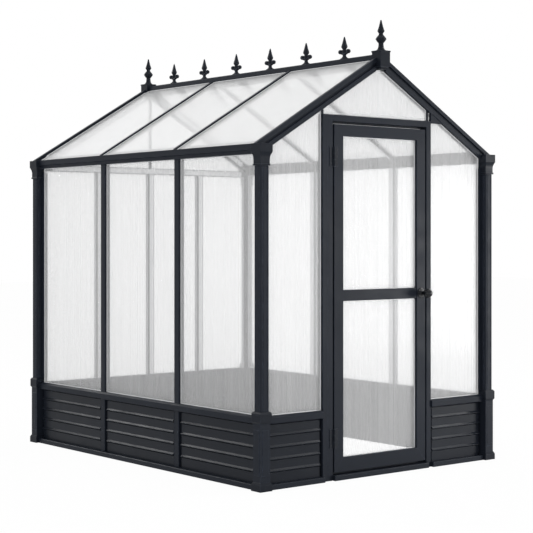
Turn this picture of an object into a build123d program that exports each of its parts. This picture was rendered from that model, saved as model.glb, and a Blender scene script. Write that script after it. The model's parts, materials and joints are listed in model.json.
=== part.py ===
from build123d import *
from math import cos, radians, sin, tan
import os

# Greenhouse with a ridge roof, glazed with twin-wall sheets in a coated metal frame.
# Millimetres. X runs across the gable, Y along the ridge, Z up from the ground.
# The origin is the middle of the footprint, and the gable with the door faces -Y.

# Footprint, from post centre to post centre
grid_width = 1770
grid_length = 2380

# Corner posts and the cast sleeves on them
post_side = 60
bead_width = 14
quirk_width = 3
quirk_depth = 3
plinth_side = 83
plinth_height = 50
plinth_bevel = 15
casing_side = 66
casing_plate_width = 42
casing_plate_raise = 2
casing_plate_margin = 34
collar_side = 80
collar_bottom = 364
collar_height = 64
collar_bevel = 10
ring_side = 70
ring_height = 10
neck_side = 64
neck_height = 28
cove_height = 36
capital_side = 86
capital_top = 1875
block_height = 46

# Wall members
wall_inset = 30
frame_depth = 40
sheet = 6
slip = 0.3
sheet_bite = 7
slot_depth = 8
mullion_width = 43
base_height = 30
base_reach = 22
sill_top = 400
sill_height = 44
sill_nose = 12
eave_height = 53
eave_reach = 20
eave_lip = 6
eave_lip_stand = 2
eave_recess = 12
eave_fascia = 33
tie_height = 40
channel_width = 20
channel_depth = 24
side_bays = 3
back_bays = 4

# Skirt boards between the base rail and the sill
board_count = 5
board_inset = 10
board_thickness = 23
ledge_reach = 8
ledge_slope = 13
ledge_edge = 3
ledge_undercut = 4

# Roof
roof_pitch = 30.7
rafter_height = 66
rafter_proud = 3
rafter_depth = 53
rafter_lip = 22
rafter_groove_top = 22
rafter_groove_bottom = 42
rafter_groove_depth = 12
sheet_below_rafter = 18
bar_below_rafter = 8
bar_height = 34
bar_width = 24
bar_web = 10
ridge_width = 44
ridge_depth = 75
ridge_stand = 14
ridge_chamfer = 5
ridge_block_side = 75
ridge_lip_side = 80
ridge_lip_height = 10
ridge_block_stand = 18
pendant_side = 26
pendant_height = 18

# Front gable with the door
door_opening_width = 744
jamb_width = 37
stop_width = 20
stop_depth = 5
stop_clearance = 5
head_bottom = 2022
head_height = 36
gable_bar_width = 16
gable_bar_depth = 14
gusset_thickness = 16
gusset_bottom = 2046
right_bar_offset = 11

# Door leaf
door_gap = 12
door_bottom = 45
door_top = 2005
stile_width = 67
top_rail_height = 65
bottom_rail_height = 79
mid_rail_height = 62
mid_rail_centre = 1038
mid_rail_setback = 4
door_sheet_depth = 23

# Hinges
hinge_length = 110
hinge_heights = (236, 1822)
hinge_plate = 3
hinge_plate_width = 25
knuckle_radius = 7
pin_radius = 3
pin_proud = 8
knuckle_gap = 0.5

# Knob
rose_radius = 30
rose_thickness = 6
knob_neck_radius = 11
ball_radius = 27.5
ball_centre = 55

# Finials
end_foot_radius = 26
end_foot_height = 5
end_neck_radius = 14.5
end_neck_level = 43
end_belt_radius = 30.5
end_belt_level = 68
end_belt_height = 6
end_waist_radius = 11.5
end_waist_level = 97
end_spear_radius = 21
end_spear_level = 116
end_finial_height = 179
fleur_count = 6
fleur_spacing = 350
fleur_foot_reach = 36
fleur_foot_rise = 24
fleur_foot_thickness = 30
fleur_stem_radius = 9
fleur_spear_foot = 52
fleur_spear_radius = 18
fleur_spear_level = 72
fleur_height = 134
scroll_radius = 13
scroll_offset = 37
scroll_level = 45
scroll_thickness = 22
scroll_arm_height = 10
tip_radius = 3.5

# Levels and faces that follow from the sizes above
half_width = grid_width / 2
half_length = grid_length / 2
post_face_x = half_width - post_side / 2
post_face_y = half_length - post_side / 2
wall_x = half_width + post_side / 2 - wall_inset
wall_y = half_length + post_side / 2 - wall_inset
glaze_x = wall_x - frame_depth / 2
glaze_y = wall_y - frame_depth / 2
sheet_slot = sheet / 2 + slip
block_bottom = capital_top - block_height
neck_bottom = block_bottom - cove_height - neck_height
ring_bottom = neck_bottom - ring_height
collar_top = collar_bottom + collar_height
sill_bottom = sill_top - sill_height
sheet_bottom = sill_top - sheet_bite
eave_lip_top = capital_top + eave_lip_stand
eave_bottom = capital_top - eave_height
sheet_edge_x = half_width - capital_side / 2 - slip
sheet_edge_y = half_length - capital_side / 2 - slip
capital_reach = half_width + capital_side / 2
rafter_outer = wall_y + rafter_proud
rafter_inner = rafter_outer - rafter_depth
head_top = head_bottom + head_height
opening_half = door_opening_width / 2
upright_outer = opening_half + jamb_width
stud_outer = upright_outer + jamb_width
leaf_half = opening_half - door_gap
door_depth = frame_depth - stop_depth - stop_clearance
pin_x = -(opening_half + leaf_half) / 2
pin_y = -(wall_y + pin_proud)
corners = [(x * half_width, y * half_length) for x in (-1, 1) for y in (-1, 1)]


def roof_z(out, below):
    """Height, at a distance out from the ridge, of the line lying square below the rafter's top edge."""
    return capital_top + (capital_reach - out) * tan(radians(roof_pitch)) - below / cos(radians(roof_pitch))


ridge_top = roof_z(ridge_width / 2, 0) + ridge_stand
ridge_bottom = ridge_top - ridge_depth
ridge_block_top = ridge_top + ridge_block_stand


def run_along_x(section, side, x_from, x_to, mode=Mode.ADD):
    """Bar along X with a section given as (distance out, height), on the wall on the given side."""
    with BuildSketch(Plane.YZ.offset(x_from)) as profile:
        Polygon(*[(side * out, height) for out, height in section], align=None)
    extrude(profile.sketch, amount=x_to - x_from, dir=(1, 0, 0), mode=mode)


def run_along_y(section, side, y_from, y_to, mode=Mode.ADD):
    """Bar along Y with a section given as (distance out, height), on the wall on the given side."""
    with BuildSketch(Plane.XZ.offset(-y_from)) as profile:
        Polygon(*[(side * out, height) for out, height in section], align=None)
    extrude(profile.sketch, amount=y_to - y_from, dir=(0, 1, 0), mode=mode)


def box_between(low, high, mode=Mode.ADD):
    """Box between two opposite corners."""
    middle = tuple((a + b) / 2 for a, b in zip(low, high))
    size = [abs(b - a) for a, b in zip(low, high)]
    with Locations(middle):
        Box(*size, mode=mode)


def square_turned(outline, reach):
    """Moulding that shows one outline on all four sides, as on a square cast cap."""
    with BuildPart() as moulding:
        with BuildSketch(Plane.XZ):
            add(outline)
        extrude(amount=reach, both=True)
        with BuildSketch(Plane.YZ):
            add(outline)
        extrude(amount=reach, both=True, mode=Mode.INTERSECT)
    return moulding.part


def bay_edges(reach, end, count, divider):
    """Ends of the clear bays between dividers spaced evenly over a reach, out to the posts at each end."""
    pitch = 2 * reach / count
    edges = []
    for bay in range(count):
        low = -reach + bay * pitch + divider / 2 if bay > 0 else -end
        high = -reach + (bay + 1) * pitch - divider / 2 if bay < count - 1 else end
        edges.append((low, high))
    return edges


tie_end = half_width - capital_side / 2
tie_top = roof_z(tie_end, rafter_height) - slip
tie_bottom = tie_top - tie_height
side_bay_edges = bay_edges(half_length, post_face_y, side_bays, mullion_width)
back_bay_edges = bay_edges(post_face_x, post_face_x, back_bays, mullion_width)
side_mullion_places = [(a[1] + b[0]) / 2 for a, b in zip(side_bay_edges, side_bay_edges[1:])]
back_mullion_places = [(a[1] + b[0]) / 2 for a, b in zip(back_bay_edges, back_bay_edges[1:])]

parts = []


def finish(builder, name):
    """Label a finished piece and keep it for writing out."""
    builder.part.label = name
    parts.append(builder.part)


# Corner posts: square tubes whose faces carry two quirks, which leave a bead at each corner
quirk_place = post_side / 2 - bead_width - quirk_width / 2
with BuildPart() as corner_posts:
    with BuildSketch():
        with Locations(*corners):
            Rectangle(post_side, post_side)
        for centre in corners:
            for turn in range(4):
                with Locations(Location((*centre, 0), (0, 0, turn * 90))):
                    with Locations((quirk_place, post_side / 2), (-quirk_place, post_side / 2)):
                        Rectangle(quirk_width, 2 * quirk_depth, mode=Mode.SUBTRACT)
    extrude(amount=ring_bottom)
finish(corner_posts, "corner_posts")

# Plinth sleeves round the feet
with BuildSketch() as plinth_outline:
    Polygon((-plinth_side / 2, 0), (plinth_side / 2, 0),
            (plinth_side / 2, plinth_height - plinth_bevel), (casing_side / 2, plinth_height),
            (-casing_side / 2, plinth_height), (-plinth_side / 2, plinth_height - plinth_bevel), align=None)
plinth = square_turned(plinth_outline.sketch, plinth_side)
with BuildPart() as post_plinths:
    with Locations(*corners):
        add(plinth)
        Box(post_side, post_side, 3 * plinth_height, mode=Mode.SUBTRACT)
finish(post_plinths, "post_plinths")

# Lower casings, with a raised plate on each outward face
casing_height = collar_bottom - plinth_height
with BuildPart() as post_casings:
    with BuildSketch(Plane.XY.offset(plinth_height)):
        with Locations(*corners):
            Rectangle(casing_side, casing_side)
            Rectangle(post_side, post_side, mode=Mode.SUBTRACT)
    extrude(amount=casing_height)
    for centre_x, centre_y in corners:
        outward_x = 1 if centre_x > 0 else -1
        outward_y = 1 if centre_y > 0 else -1
        plate_z = plinth_height + casing_height / 2
        plate_height = casing_height - 2 * casing_plate_margin
        plate_out = casing_side / 2 + casing_plate_raise / 2
        with Locations((centre_x + outward_x * plate_out, centre_y, plate_z)):
            Box(casing_plate_raise, casing_plate_width, plate_height)
        with Locations((centre_x, centre_y + outward_y * plate_out, plate_z)):
            Box(casing_plate_width, casing_plate_raise, plate_height)
finish(post_casings, "post_casings")

# Collars at sill height, bevelled above and below
with BuildSketch() as collar_outline:
    half = collar_side / 2
    Polygon((-casing_side / 2, collar_bottom), (casing_side / 2, collar_bottom),
            (half, collar_bottom + collar_bevel), (half, collar_top - collar_bevel),
            (casing_side / 2, collar_top), (-casing_side / 2, collar_top),
            (-half, collar_top - collar_bevel), (-half, collar_bottom + collar_bevel), align=None)
collar = square_turned(collar_outline.sketch, collar_side)
with BuildPart() as post_collars:
    with Locations(*corners):
        add(collar)
    with Locations(*[(x, y, collar_bottom) for x, y in corners]):
        Box(post_side, post_side, 3 * collar_height, mode=Mode.SUBTRACT)
finish(post_collars, "post_collars")

# Capitals: ring, neck, cove and block in one casting
with BuildSketch() as capital_outline:
    with BuildLine():
        for hand in (-1, 1):
            ring_out = hand * ring_side / 2
            neck_out = hand * neck_side / 2
            block_out = hand * capital_side / 2
            cove_bottom = block_bottom - cove_height
            cove_middle = neck_out + (block_out - neck_out) * 0.35
            Polyline((0, ring_bottom), (ring_out, ring_bottom), (ring_out, neck_bottom),
                     (neck_out, neck_bottom), (neck_out, cove_bottom))
            ThreePointArc((neck_out, cove_bottom), (cove_middle, block_bottom - cove_height * 0.42),
                          (block_out, block_bottom))
            Polyline((block_out, block_bottom), (block_out, capital_top), (0, capital_top))
    make_face()
capital = square_turned(capital_outline.sketch, capital_side)
with BuildPart() as post_capitals:
    with Locations(*corners):
        add(capital)
finish(post_capitals, "post_capitals")

# Glazing channels down the posts, between collar and capital
channel_top = block_bottom - cove_height
channel_x = post_face_x - channel_width / 2
channel_y = post_face_y - channel_width / 2
groove_shift = channel_width / 2 - slot_depth * 0.75
with BuildPart() as post_channels:
    with BuildSketch(Plane.XY.offset(collar_top)):
        for hand_x in (-1, 1):
            for hand_y in (-1, 1):
                with Locations((hand_x * channel_x, hand_y * glaze_y)):
                    Rectangle(channel_width, channel_depth)
                with Locations((hand_x * glaze_x, hand_y * channel_y)):
                    Rectangle(channel_depth, channel_width)
                with Locations((hand_x * (channel_x - groove_shift), hand_y * glaze_y)):
                    Rectangle(1.5 * slot_depth, 2 * sheet_slot, mode=Mode.SUBTRACT)
                with Locations((hand_x * glaze_x, hand_y * (channel_y - groove_shift))):
                    Rectangle(2 * sheet_slot, 1.5 * slot_depth, mode=Mode.SUBTRACT)
    extrude(amount=channel_top - collar_top)
    with Locations(*[(x, y, ring_bottom + ring_height / 2) for x, y in corners]):
        Box(ring_side, ring_side, ring_height, mode=Mode.SUBTRACT)
    with Locations(*[(x, y, neck_bottom + neck_height / 2) for x, y in corners]):
        Box(neck_side + 2 * slip, neck_side + 2 * slip, neck_height, mode=Mode.SUBTRACT)
finish(post_channels, "post_channels")


def base_section(wall):
    """Base rail section for a wall whose face lies that far out."""
    back = wall - frame_depth
    return [(back, 0), (wall + base_reach, 0), (wall + base_reach, base_height - 4),
            (wall + base_reach - 4, base_height), (back, base_height)]


def sill_section(wall):
    """Sill rail section, with a bevelled nose and a slot on top for the sheets."""
    back = wall - frame_depth
    glaze = wall - frame_depth / 2
    return [(back, sill_bottom), (wall + sill_nose - 4, sill_bottom), (wall + sill_nose, sill_bottom + 4),
            (wall + sill_nose, sill_top - 10), (wall, sill_top),
            (glaze + sheet_slot, sill_top), (glaze + sheet_slot, sill_top - slot_depth),
            (glaze - sheet_slot, sill_top - slot_depth), (glaze - sheet_slot, sill_top), (back, sill_top)]


def skirt_section(wall):
    """Section of the stacked boards, each with a sloping ledge over an undercut at its foot."""
    face = wall - board_inset
    back = face - board_thickness
    pitch = (sill_bottom - base_height) / board_count
    points = [(back, sill_bottom), (back, base_height), (face, base_height)]
    for board in range(1, board_count):
        foot = base_height + board * pitch
        points += [(face, foot - ledge_undercut), (face + ledge_reach, foot),
                   (face + ledge_reach, foot + ledge_edge), (face, foot + ledge_edge + ledge_slope)]
    return points + [(face, sill_bottom)]


# Base rails between the plinths
base_end_x = half_width - plinth_side / 2
base_end_y = half_length - plinth_side / 2
with BuildPart() as base_rails:
    for side in (-1, 1):
        run_along_y(base_section(wall_x), side, -base_end_y, base_end_y)
    run_along_x(base_section(wall_y), -1, -base_end_x, -stud_outer)
    run_along_x(base_section(wall_y), -1, upright_outer, base_end_x)
    run_along_x(base_section(wall_y), 1, -base_end_x, base_end_x)
finish(base_rails, "base_rails")

# Sill rails between the collars
sill_end_x = min(half_width - collar_side / 2, wall_x - frame_depth)
sill_end_y = min(half_length - collar_side / 2, wall_y - frame_depth)
with BuildPart() as sill_rails:
    for side in (-1, 1):
        run_along_y(sill_section(wall_x), side, -sill_end_y, sill_end_y)
    run_along_x(sill_section(wall_y), -1, -sill_end_x, -stud_outer)
    run_along_x(sill_section(wall_y), -1, upright_outer, sill_end_x)
    run_along_x(sill_section(wall_y), 1, -sill_end_x, sill_end_x)
finish(sill_rails, "sill_rails")

# Skirt panels, cut back round the plinths
skirt_end_x = min(half_width - casing_side / 2, wall_x - board_inset - board_thickness)
skirt_end_y = min(half_length - casing_side / 2, wall_y - board_inset - board_thickness)


def clear_plinths():
    """Notch the panel in hand round the plinths."""
    with Locations(*corners):
        Box(plinth_side + 2 * slip, plinth_side + 2 * slip, 2 * (plinth_height + slip), mode=Mode.SUBTRACT)


skirt_side_edges = [[low, high] for low, high in side_bay_edges]
skirt_side_edges[0][0] = -skirt_end_y
skirt_side_edges[-1][1] = skirt_end_y
for side, name in ((-1, "left_skirt_panels"), (1, "right_skirt_panels")):
    with BuildPart() as side_skirt:
        for low, high in skirt_side_edges:
            run_along_y(skirt_section(wall_x), side, low, high)
        clear_plinths()
    finish(side_skirt, name)

with BuildPart() as front_skirt_panels:
    run_along_x(skirt_section(wall_y), -1, -skirt_end_x, -stud_outer)
    run_along_x(skirt_section(wall_y), -1, upright_outer, skirt_end_x)
    clear_plinths()
finish(front_skirt_panels, "front_skirt_panels")

skirt_back_edges = [[low, high] for low, high in back_bay_edges]
skirt_back_edges[0][0] = -skirt_end_x
skirt_back_edges[-1][1] = skirt_end_x
with BuildPart() as back_skirt_panels:
    for low, high in skirt_back_edges:
        run_along_x(skirt_section(wall_y), 1, low, high)
    clear_plinths()
finish(back_skirt_panels, "back_skirt_panels")

# Stiles between the skirt panels
with BuildPart() as skirt_stiles:
    for place in side_mullion_places:
        for side in (-1, 1):
            box_between((side * wall_x, place - mullion_width / 2, base_height),
                        (side * (wall_x - frame_depth), place + mullion_width / 2, sill_bottom))
    for place in back_mullion_places:
        box_between((place - mullion_width / 2, wall_y, base_height),
                    (place + mullion_width / 2, wall_y - frame_depth, sill_bottom))
finish(skirt_stiles, "skirt_stiles")

# Mullions between the wall sheets, slotted on both sides
with BuildPart() as side_mullions:
    for side in (-1, 1):
        for place in side_mullion_places:
            box_between((side * wall_x, place - mullion_width / 2, sill_top),
                        (side * (wall_x - frame_depth), place + mullion_width / 2, eave_bottom))
            for hand in (-1, 1):
                edge = place + hand * mullion_width / 2
                slot_end = edge - hand * slot_depth
                box_between((side * glaze_x - sheet_slot, edge, sill_top),
                            (side * glaze_x + sheet_slot, slot_end, eave_bottom), Mode.SUBTRACT)
finish(side_mullions, "side_mullions")

with BuildPart() as back_mullions:
    for place in back_mullion_places:
        box_between((place - mullion_width / 2, wall_y, sill_top),
                    (place + mullion_width / 2, wall_y - frame_depth, tie_bottom))
        for hand in (-1, 1):
            edge = place + hand * mullion_width / 2
            box_between((edge, glaze_y - sheet_slot, sill_top),
                        (edge - hand * slot_depth, glaze_y + sheet_slot, tie_bottom), Mode.SUBTRACT)
finish(back_mullions, "back_mullions")

# Eave beams: a fascia over a recess, with a lip that stops the roof sheets
eave_outer = wall_x + eave_reach
eave_inner = wall_x - frame_depth
lip_inner = eave_outer - eave_lip
seat = sheet_below_rafter + sheet + slip
slot_inner = glaze_x - sheet_slot
slot_outer = glaze_x + sheet_slot
fascia_bottom = eave_lip_top - eave_fascia
eave_section = [(eave_inner, eave_bottom), (slot_inner, eave_bottom), (slot_inner, eave_bottom + slot_depth),
                (slot_outer, eave_bottom + slot_depth), (slot_outer, eave_bottom),
                (eave_outer - eave_recess, eave_bottom), (eave_outer - eave_recess, fascia_bottom - 4),
                (eave_outer, fascia_bottom), (eave_outer, eave_lip_top), (lip_inner, eave_lip_top),
                (lip_inner, roof_z(lip_inner, seat)), (eave_inner, roof_z(eave_inner, seat))]
eave_end = half_length - capital_side / 2
with BuildPart() as eave_beams:
    for side in (-1, 1):
        run_along_y(eave_section, side, -eave_end, eave_end)
        for hand in (-1, 1):
            box_between((side * (eave_inner - 1), hand * rafter_inner, capital_top),
                        (side * (eave_outer + 1), hand * (eave_end + 1), capital_top + block_height),
                        Mode.SUBTRACT)
finish(eave_beams, "eave_beams")

# Tie rail across the back gable, slotted above and below
back_face = wall_y - frame_depth
slot_near = glaze_y - sheet_slot
slot_far = glaze_y + sheet_slot
tie_section = [(back_face, tie_bottom), (slot_near, tie_bottom), (slot_near, tie_bottom + slot_depth),
               (slot_far, tie_bottom + slot_depth), (slot_far, tie_bottom), (wall_y, tie_bottom),
               (wall_y, tie_top), (slot_far, tie_top), (slot_far, tie_top - slot_depth),
               (slot_near, tie_top - slot_depth), (slot_near, tie_top), (back_face, tie_top)]
with BuildPart() as back_tie_rail:
    run_along_x(tie_section, 1, -tie_end, tie_end)
finish(back_tie_rail, "back_tie_rail")

# Gable rafters: a grooved lip that stands over a bed for the roof sheets, slotted for the gable sheets
rafter_end = ridge_block_side / 2
rafter_section = [(capital_reach, capital_top), (rafter_end, roof_z(rafter_end, 0)),
                  (rafter_end, roof_z(rafter_end, rafter_height)),
                  (tie_end, roof_z(tie_end, rafter_height)), (tie_end, capital_top)]


def slope_strip(out_from, out_to, top, bottom):
    """Strip that follows the roof slope between two depths below the rafter's top edge."""
    return [(out_from, roof_z(out_from, top)), (out_to, roof_z(out_to, top)),
            (out_to, roof_z(out_to, bottom)), (out_from, roof_z(out_from, bottom))]


far_out = capital_reach + 10
groove = slope_strip(0, far_out, rafter_groove_top, rafter_groove_bottom)
roof_slot = slope_strip(0, far_out, sheet_below_rafter - slip, sheet_below_rafter + sheet + slip)
over_sheet = slope_strip(0, far_out, -rafter_height, seat)
gable_slot = slope_strip(0, far_out, rafter_height - slot_depth, rafter_height + 4)
for gable, name in ((-1, "front_rafters"), (1, "back_rafters")):
    with BuildPart() as rafters:
        for side in (-1, 1):
            faces = sorted((gable * rafter_inner, gable * rafter_outer))
            run_along_y(rafter_section, side, *faces)
            faces = sorted((gable * (rafter_outer - rafter_groove_depth), gable * (rafter_outer + 1)))
            run_along_y(groove, side, *faces, Mode.SUBTRACT)
            faces = sorted((gable * (rafter_inner - 1), gable * (rafter_outer - rafter_lip)))
            run_along_y(over_sheet, side, *faces, Mode.SUBTRACT)
            faces = (gable * glaze_y - sheet_slot, gable * glaze_y + sheet_slot)
            run_along_y(gable_slot, side, *faces, Mode.SUBTRACT)
    finish(rafters, name)

# Roof bars over the side mullions, notched onto the eave beams
ridge_half = ridge_width / 2
sheet_low_end = lip_inner - slip
bar_bottom = bar_below_rafter + bar_height
bar_section = [(ridge_half, roof_z(ridge_half, bar_below_rafter)),
               (sheet_low_end, roof_z(sheet_low_end, bar_below_rafter)),
               (sheet_low_end, roof_z(sheet_low_end, seat)), (eave_inner, roof_z(eave_inner, seat)),
               (eave_inner, roof_z(eave_inner, bar_bottom)), (ridge_half, roof_z(ridge_half, bar_bottom))]
with BuildPart() as roof_bars:
    for side in (-1, 1):
        for place in side_mullion_places:
            run_along_y(bar_section, side, place - bar_width / 2, place + bar_width / 2)
            run_along_y(roof_slot, side, place - bar_width, place - bar_web / 2, Mode.SUBTRACT)
            run_along_y(roof_slot, side, place + bar_web / 2, place + bar_width, Mode.SUBTRACT)
finish(roof_bars, "roof_bars")

# Ridge beam between the end blocks, slotted along both sides
slot_bottom_x = ridge_half - slot_depth
ridge_side = [(ridge_half, ridge_bottom), (ridge_half, roof_z(ridge_half, seat)),
              (slot_bottom_x, roof_z(slot_bottom_x, seat)),
              (slot_bottom_x, roof_z(slot_bottom_x, sheet_below_rafter - slip)),
              (ridge_half, roof_z(ridge_half, sheet_below_rafter - slip)),
              (ridge_half, ridge_top - ridge_chamfer), (ridge_half - ridge_chamfer, ridge_top)]
ridge_end = half_length - ridge_block_side / 2
with BuildPart() as ridge_beam:
    mirrored_side = [(-out, height) for out, height in reversed(ridge_side)]
    run_along_y(ridge_side + mirrored_side, 1, -ridge_end, ridge_end)
finish(ridge_beam, "ridge_beam")

# End blocks of the ridge, with a lipped top and a rounded pendant
lip_bottom = ridge_block_top - ridge_lip_height
pendant_z = ridge_bottom - pendant_height
with BuildSketch() as ridge_block_outline:
    with BuildLine():
        for hand in (-1, 1):
            pendant_out = hand * pendant_side / 2
            pendant_root = hand * (pendant_side / 2 + pendant_height)
            pendant_middle = hand * (pendant_side / 2 + pendant_height * 0.7)
            block_out = hand * ridge_block_side / 2
            lip_out = hand * ridge_lip_side / 2
            Polyline((0, pendant_z), (pendant_out, pendant_z))
            ThreePointArc((pendant_out, pendant_z), (pendant_middle, ridge_bottom - pendant_height * 0.7),
                          (pendant_root, ridge_bottom))
            Polyline((pendant_root, ridge_bottom), (block_out, ridge_bottom), (block_out, lip_bottom),
                     (lip_out, lip_bottom + 3), (lip_out, ridge_block_top), (0, ridge_block_top))
    make_face()
ridge_block = square_turned(ridge_block_outline.sketch, ridge_lip_side)
with BuildPart() as ridge_blocks:
    with Locations((0, -half_length), (0, half_length)):
        add(ridge_block)
finish(ridge_blocks, "ridge_blocks")

# End finials: flared foot, belted bulb and spear, turned in one piece
belt_bottom = end_belt_level - end_belt_height / 2
belt_top = end_belt_level + end_belt_height / 2
with BuildPart() as end_finial:
    with BuildSketch(Plane.XZ):
        Polygon((0, 0), (end_foot_radius, 0), (end_foot_radius, end_foot_height),
                (end_neck_radius, end_neck_level), (end_belt_radius, belt_bottom),
                (end_belt_radius, belt_top),
                (end_waist_radius, end_waist_level), (end_spear_radius, end_spear_level),
                (tip_radius, end_finial_height), (0, end_finial_height), align=None)
    revolve(axis=Axis.Z)
with BuildPart() as end_finials:
    with Locations((0, -half_length, ridge_block_top), (0, half_length, ridge_block_top)):
        add(end_finial.part)
finish(end_finials, "end_finials")

# Ridge finials: a turned spear over a flat cast stem, with a flared foot and a scroll on each side
with BuildPart() as fleur:
    with BuildSketch(Plane.XZ):
        Polygon((0, fleur_spear_foot), (fleur_stem_radius, fleur_spear_foot),
                (fleur_spear_radius, fleur_spear_level), (tip_radius, fleur_height), (0, fleur_height),
                align=None)
    revolve(axis=Axis.Z)
    with BuildSketch(Plane.YZ):
        foot_edge = [(fleur_foot_reach, 0), (fleur_foot_reach, 3),
                     (fleur_stem_radius + 7, fleur_foot_rise * 0.5), (fleur_stem_radius, fleur_foot_rise)]
        Polygon(*foot_edge, *[(-along, height) for along, height in reversed(foot_edge)], align=None)
    extrude(amount=fleur_foot_thickness / 2, both=True)
    with BuildSketch(Plane.YZ):
        with Locations((-scroll_offset, scroll_level), (scroll_offset, scroll_level)):
            RegularPolygon(scroll_radius, 12)
        with Locations((0, scroll_level)):
            Rectangle(2 * scroll_offset, scroll_arm_height)
        with Locations((0, fleur_spear_foot / 2)):
            Rectangle(2 * fleur_stem_radius, fleur_spear_foot)
    extrude(amount=scroll_thickness / 2, both=True)
with BuildPart() as ridge_finials:
    with Locations((0, 0, ridge_top)):
        with GridLocations(1, fleur_spacing, 1, fleur_count):
            add(fleur.part)
finish(ridge_finials, "ridge_finials")

# Door frame in the front gable
stop_front = -wall_y + frame_depth - stop_depth
stop_back = -wall_y + frame_depth
stop_half = opening_half - stop_width
with BuildPart() as door_uprights:
    for side in (-1, 1):
        box_between((side * opening_half, -wall_y, 0), (side * upright_outer, stop_back, head_top))
        box_between((side * stop_half, stop_front, base_height),
                    (side * opening_half, stop_back, head_bottom))
    box_between((upright_outer - sheet_bite, -glaze_y - sheet_slot, sheet_bottom - slip),
                (upright_outer, -glaze_y + sheet_slot, head_top), Mode.SUBTRACT)
finish(door_uprights, "door_uprights")

with BuildPart() as hinge_side_stud:
    box_between((-stud_outer, -wall_y, 0), (-upright_outer, stop_back, head_top))
    box_between((-stud_outer, -glaze_y - sheet_slot, sheet_bottom - slip),
                (-stud_outer + sheet_bite, -glaze_y + sheet_slot, head_top), Mode.SUBTRACT)
finish(hinge_side_stud, "hinge_side_stud")

with BuildPart() as door_head:
    box_between((-opening_half, -wall_y, head_bottom), (opening_half, stop_back, head_top))
    box_between((-stop_half, stop_front, head_bottom - stop_width), (stop_half, stop_back, head_bottom))
finish(door_head, "door_head")

with BuildPart() as door_threshold:
    run_along_x(base_section(wall_y), -1, -opening_half, opening_half)
    box_between((-stop_half, stop_front, base_height), (stop_half, stop_back, base_height + stop_width))
finish(door_threshold, "door_threshold")

# Thin glazing bars in the gables, from the head or tie rail up to the rafters
bar_bite = sheet_bite - 2
left_bar = (-stud_outer, -stud_outer + gable_bar_width)
right_bar = (opening_half + right_bar_offset, opening_half + right_bar_offset + gable_bar_width)
king_bar = (-gable_bar_width / 2, gable_bar_width / 2)


def gable_bar(gable, edges, foot):
    """Upright bar between two X edges that stops under the rafters or the pendant."""
    tops = [min(roof_z(abs(edge), rafter_height), pendant_z) for edge in edges]
    half_depth = gable_bar_depth / 2
    low_y, high_y = gable * glaze_y - half_depth, gable * glaze_y + half_depth
    section = [(edges[0], foot), (edges[1], foot), (edges[1], tops[1]), (edges[0], tops[0])]
    run_along_y(section, 1, low_y, high_y)
    for edge, inward in ((edges[0], 1), (edges[1], -1)):
        box_between((edge, gable * glaze_y - sheet_slot, foot),
                    (edge + inward * bar_bite, gable * glaze_y + sheet_slot, pendant_z + 1), Mode.SUBTRACT)


with BuildPart() as gable_bars:
    gable_bar(-1, left_bar, head_top)
    gable_bar(-1, right_bar, head_top)
    gable_bar(1, king_bar, tie_top)
finish(gable_bars, "gable_bars")

# Corner gusset over the latch side of the door frame
gusset_rise = gusset_bottom - roof_z(capital_reach, rafter_height)
gusset_tip = capital_reach - gusset_rise / tan(radians(roof_pitch))
with BuildPart() as corner_gusset:
    section = [(upright_outer, gusset_bottom), (gusset_tip, gusset_bottom),
               (upright_outer, roof_z(upright_outer, rafter_height))]
    run_along_y(section, 1, -wall_y, -wall_y + gusset_thickness)
finish(corner_gusset, "corner_gusset")


def sheet_edges(edges, count, ends):
    """Sheet widths: each bay plus its bite into the slots, with the outer ends in the post channels."""
    widened = [[low - sheet_bite, high + sheet_bite] for low, high in edges]
    widened[0][0] = -ends
    widened[-1][1] = ends
    return widened[:count]


# Wall sheets in their slots
for side, name in ((-1, "left_wall_sheets"), (1, "right_wall_sheets")):
    with BuildPart() as wall_sheets:
        for low, high in sheet_edges(side_bay_edges, side_bays, sheet_edge_y):
            box_between((side * glaze_x - sheet / 2, low, sheet_bottom),
                        (side * glaze_x + sheet / 2, high, eave_bottom + sheet_bite))
    finish(wall_sheets, name)

with BuildPart() as back_wall_sheets:
    for low, high in sheet_edges(back_bay_edges, back_bays, sheet_edge_x):
        box_between((low, glaze_y - sheet / 2, sheet_bottom),
                    (high, glaze_y + sheet / 2, tie_bottom + sheet_bite))
finish(back_wall_sheets, "back_wall_sheets")

gable_edge = rafter_height - sheet_bite


def gable_top(out):
    """Top edge of a gable sheet, in the rafter's slot and flat under the pendant."""
    return min(roof_z(abs(out), gable_edge), pendant_z - slip)


def gable_sheet(gable, corners_xz):
    """Sheet cut to an outline in the gable's glazing plane."""
    run_along_y(corners_xz, 1, gable * glaze_y - sheet / 2, gable * glaze_y + sheet / 2)


apex_out = rafter_end
left_sheet_edge = -stud_outer + bar_bite - slip
right_sheet_edge = upright_outer - bar_bite + slip
right_bar_edge = right_bar[1] - bar_bite + slip
with BuildPart() as front_left_sheet:
    gable_sheet(-1, [(-sheet_edge_x, sheet_bottom), (left_sheet_edge, sheet_bottom),
                     (left_sheet_edge, gable_top(left_sheet_edge)),
                     (-sheet_edge_x, gable_top(sheet_edge_x))])
finish(front_left_sheet, "front_left_sheet")

with BuildPart() as front_right_sheet:
    gable_sheet(-1, [(right_sheet_edge, sheet_bottom), (sheet_edge_x, sheet_bottom),
                     (sheet_edge_x, gable_top(sheet_edge_x)), (right_bar_edge, gable_top(right_bar_edge)),
                     (right_bar_edge, head_top + slip), (right_sheet_edge, head_top + slip)])
finish(front_right_sheet, "front_right_sheet")

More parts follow.
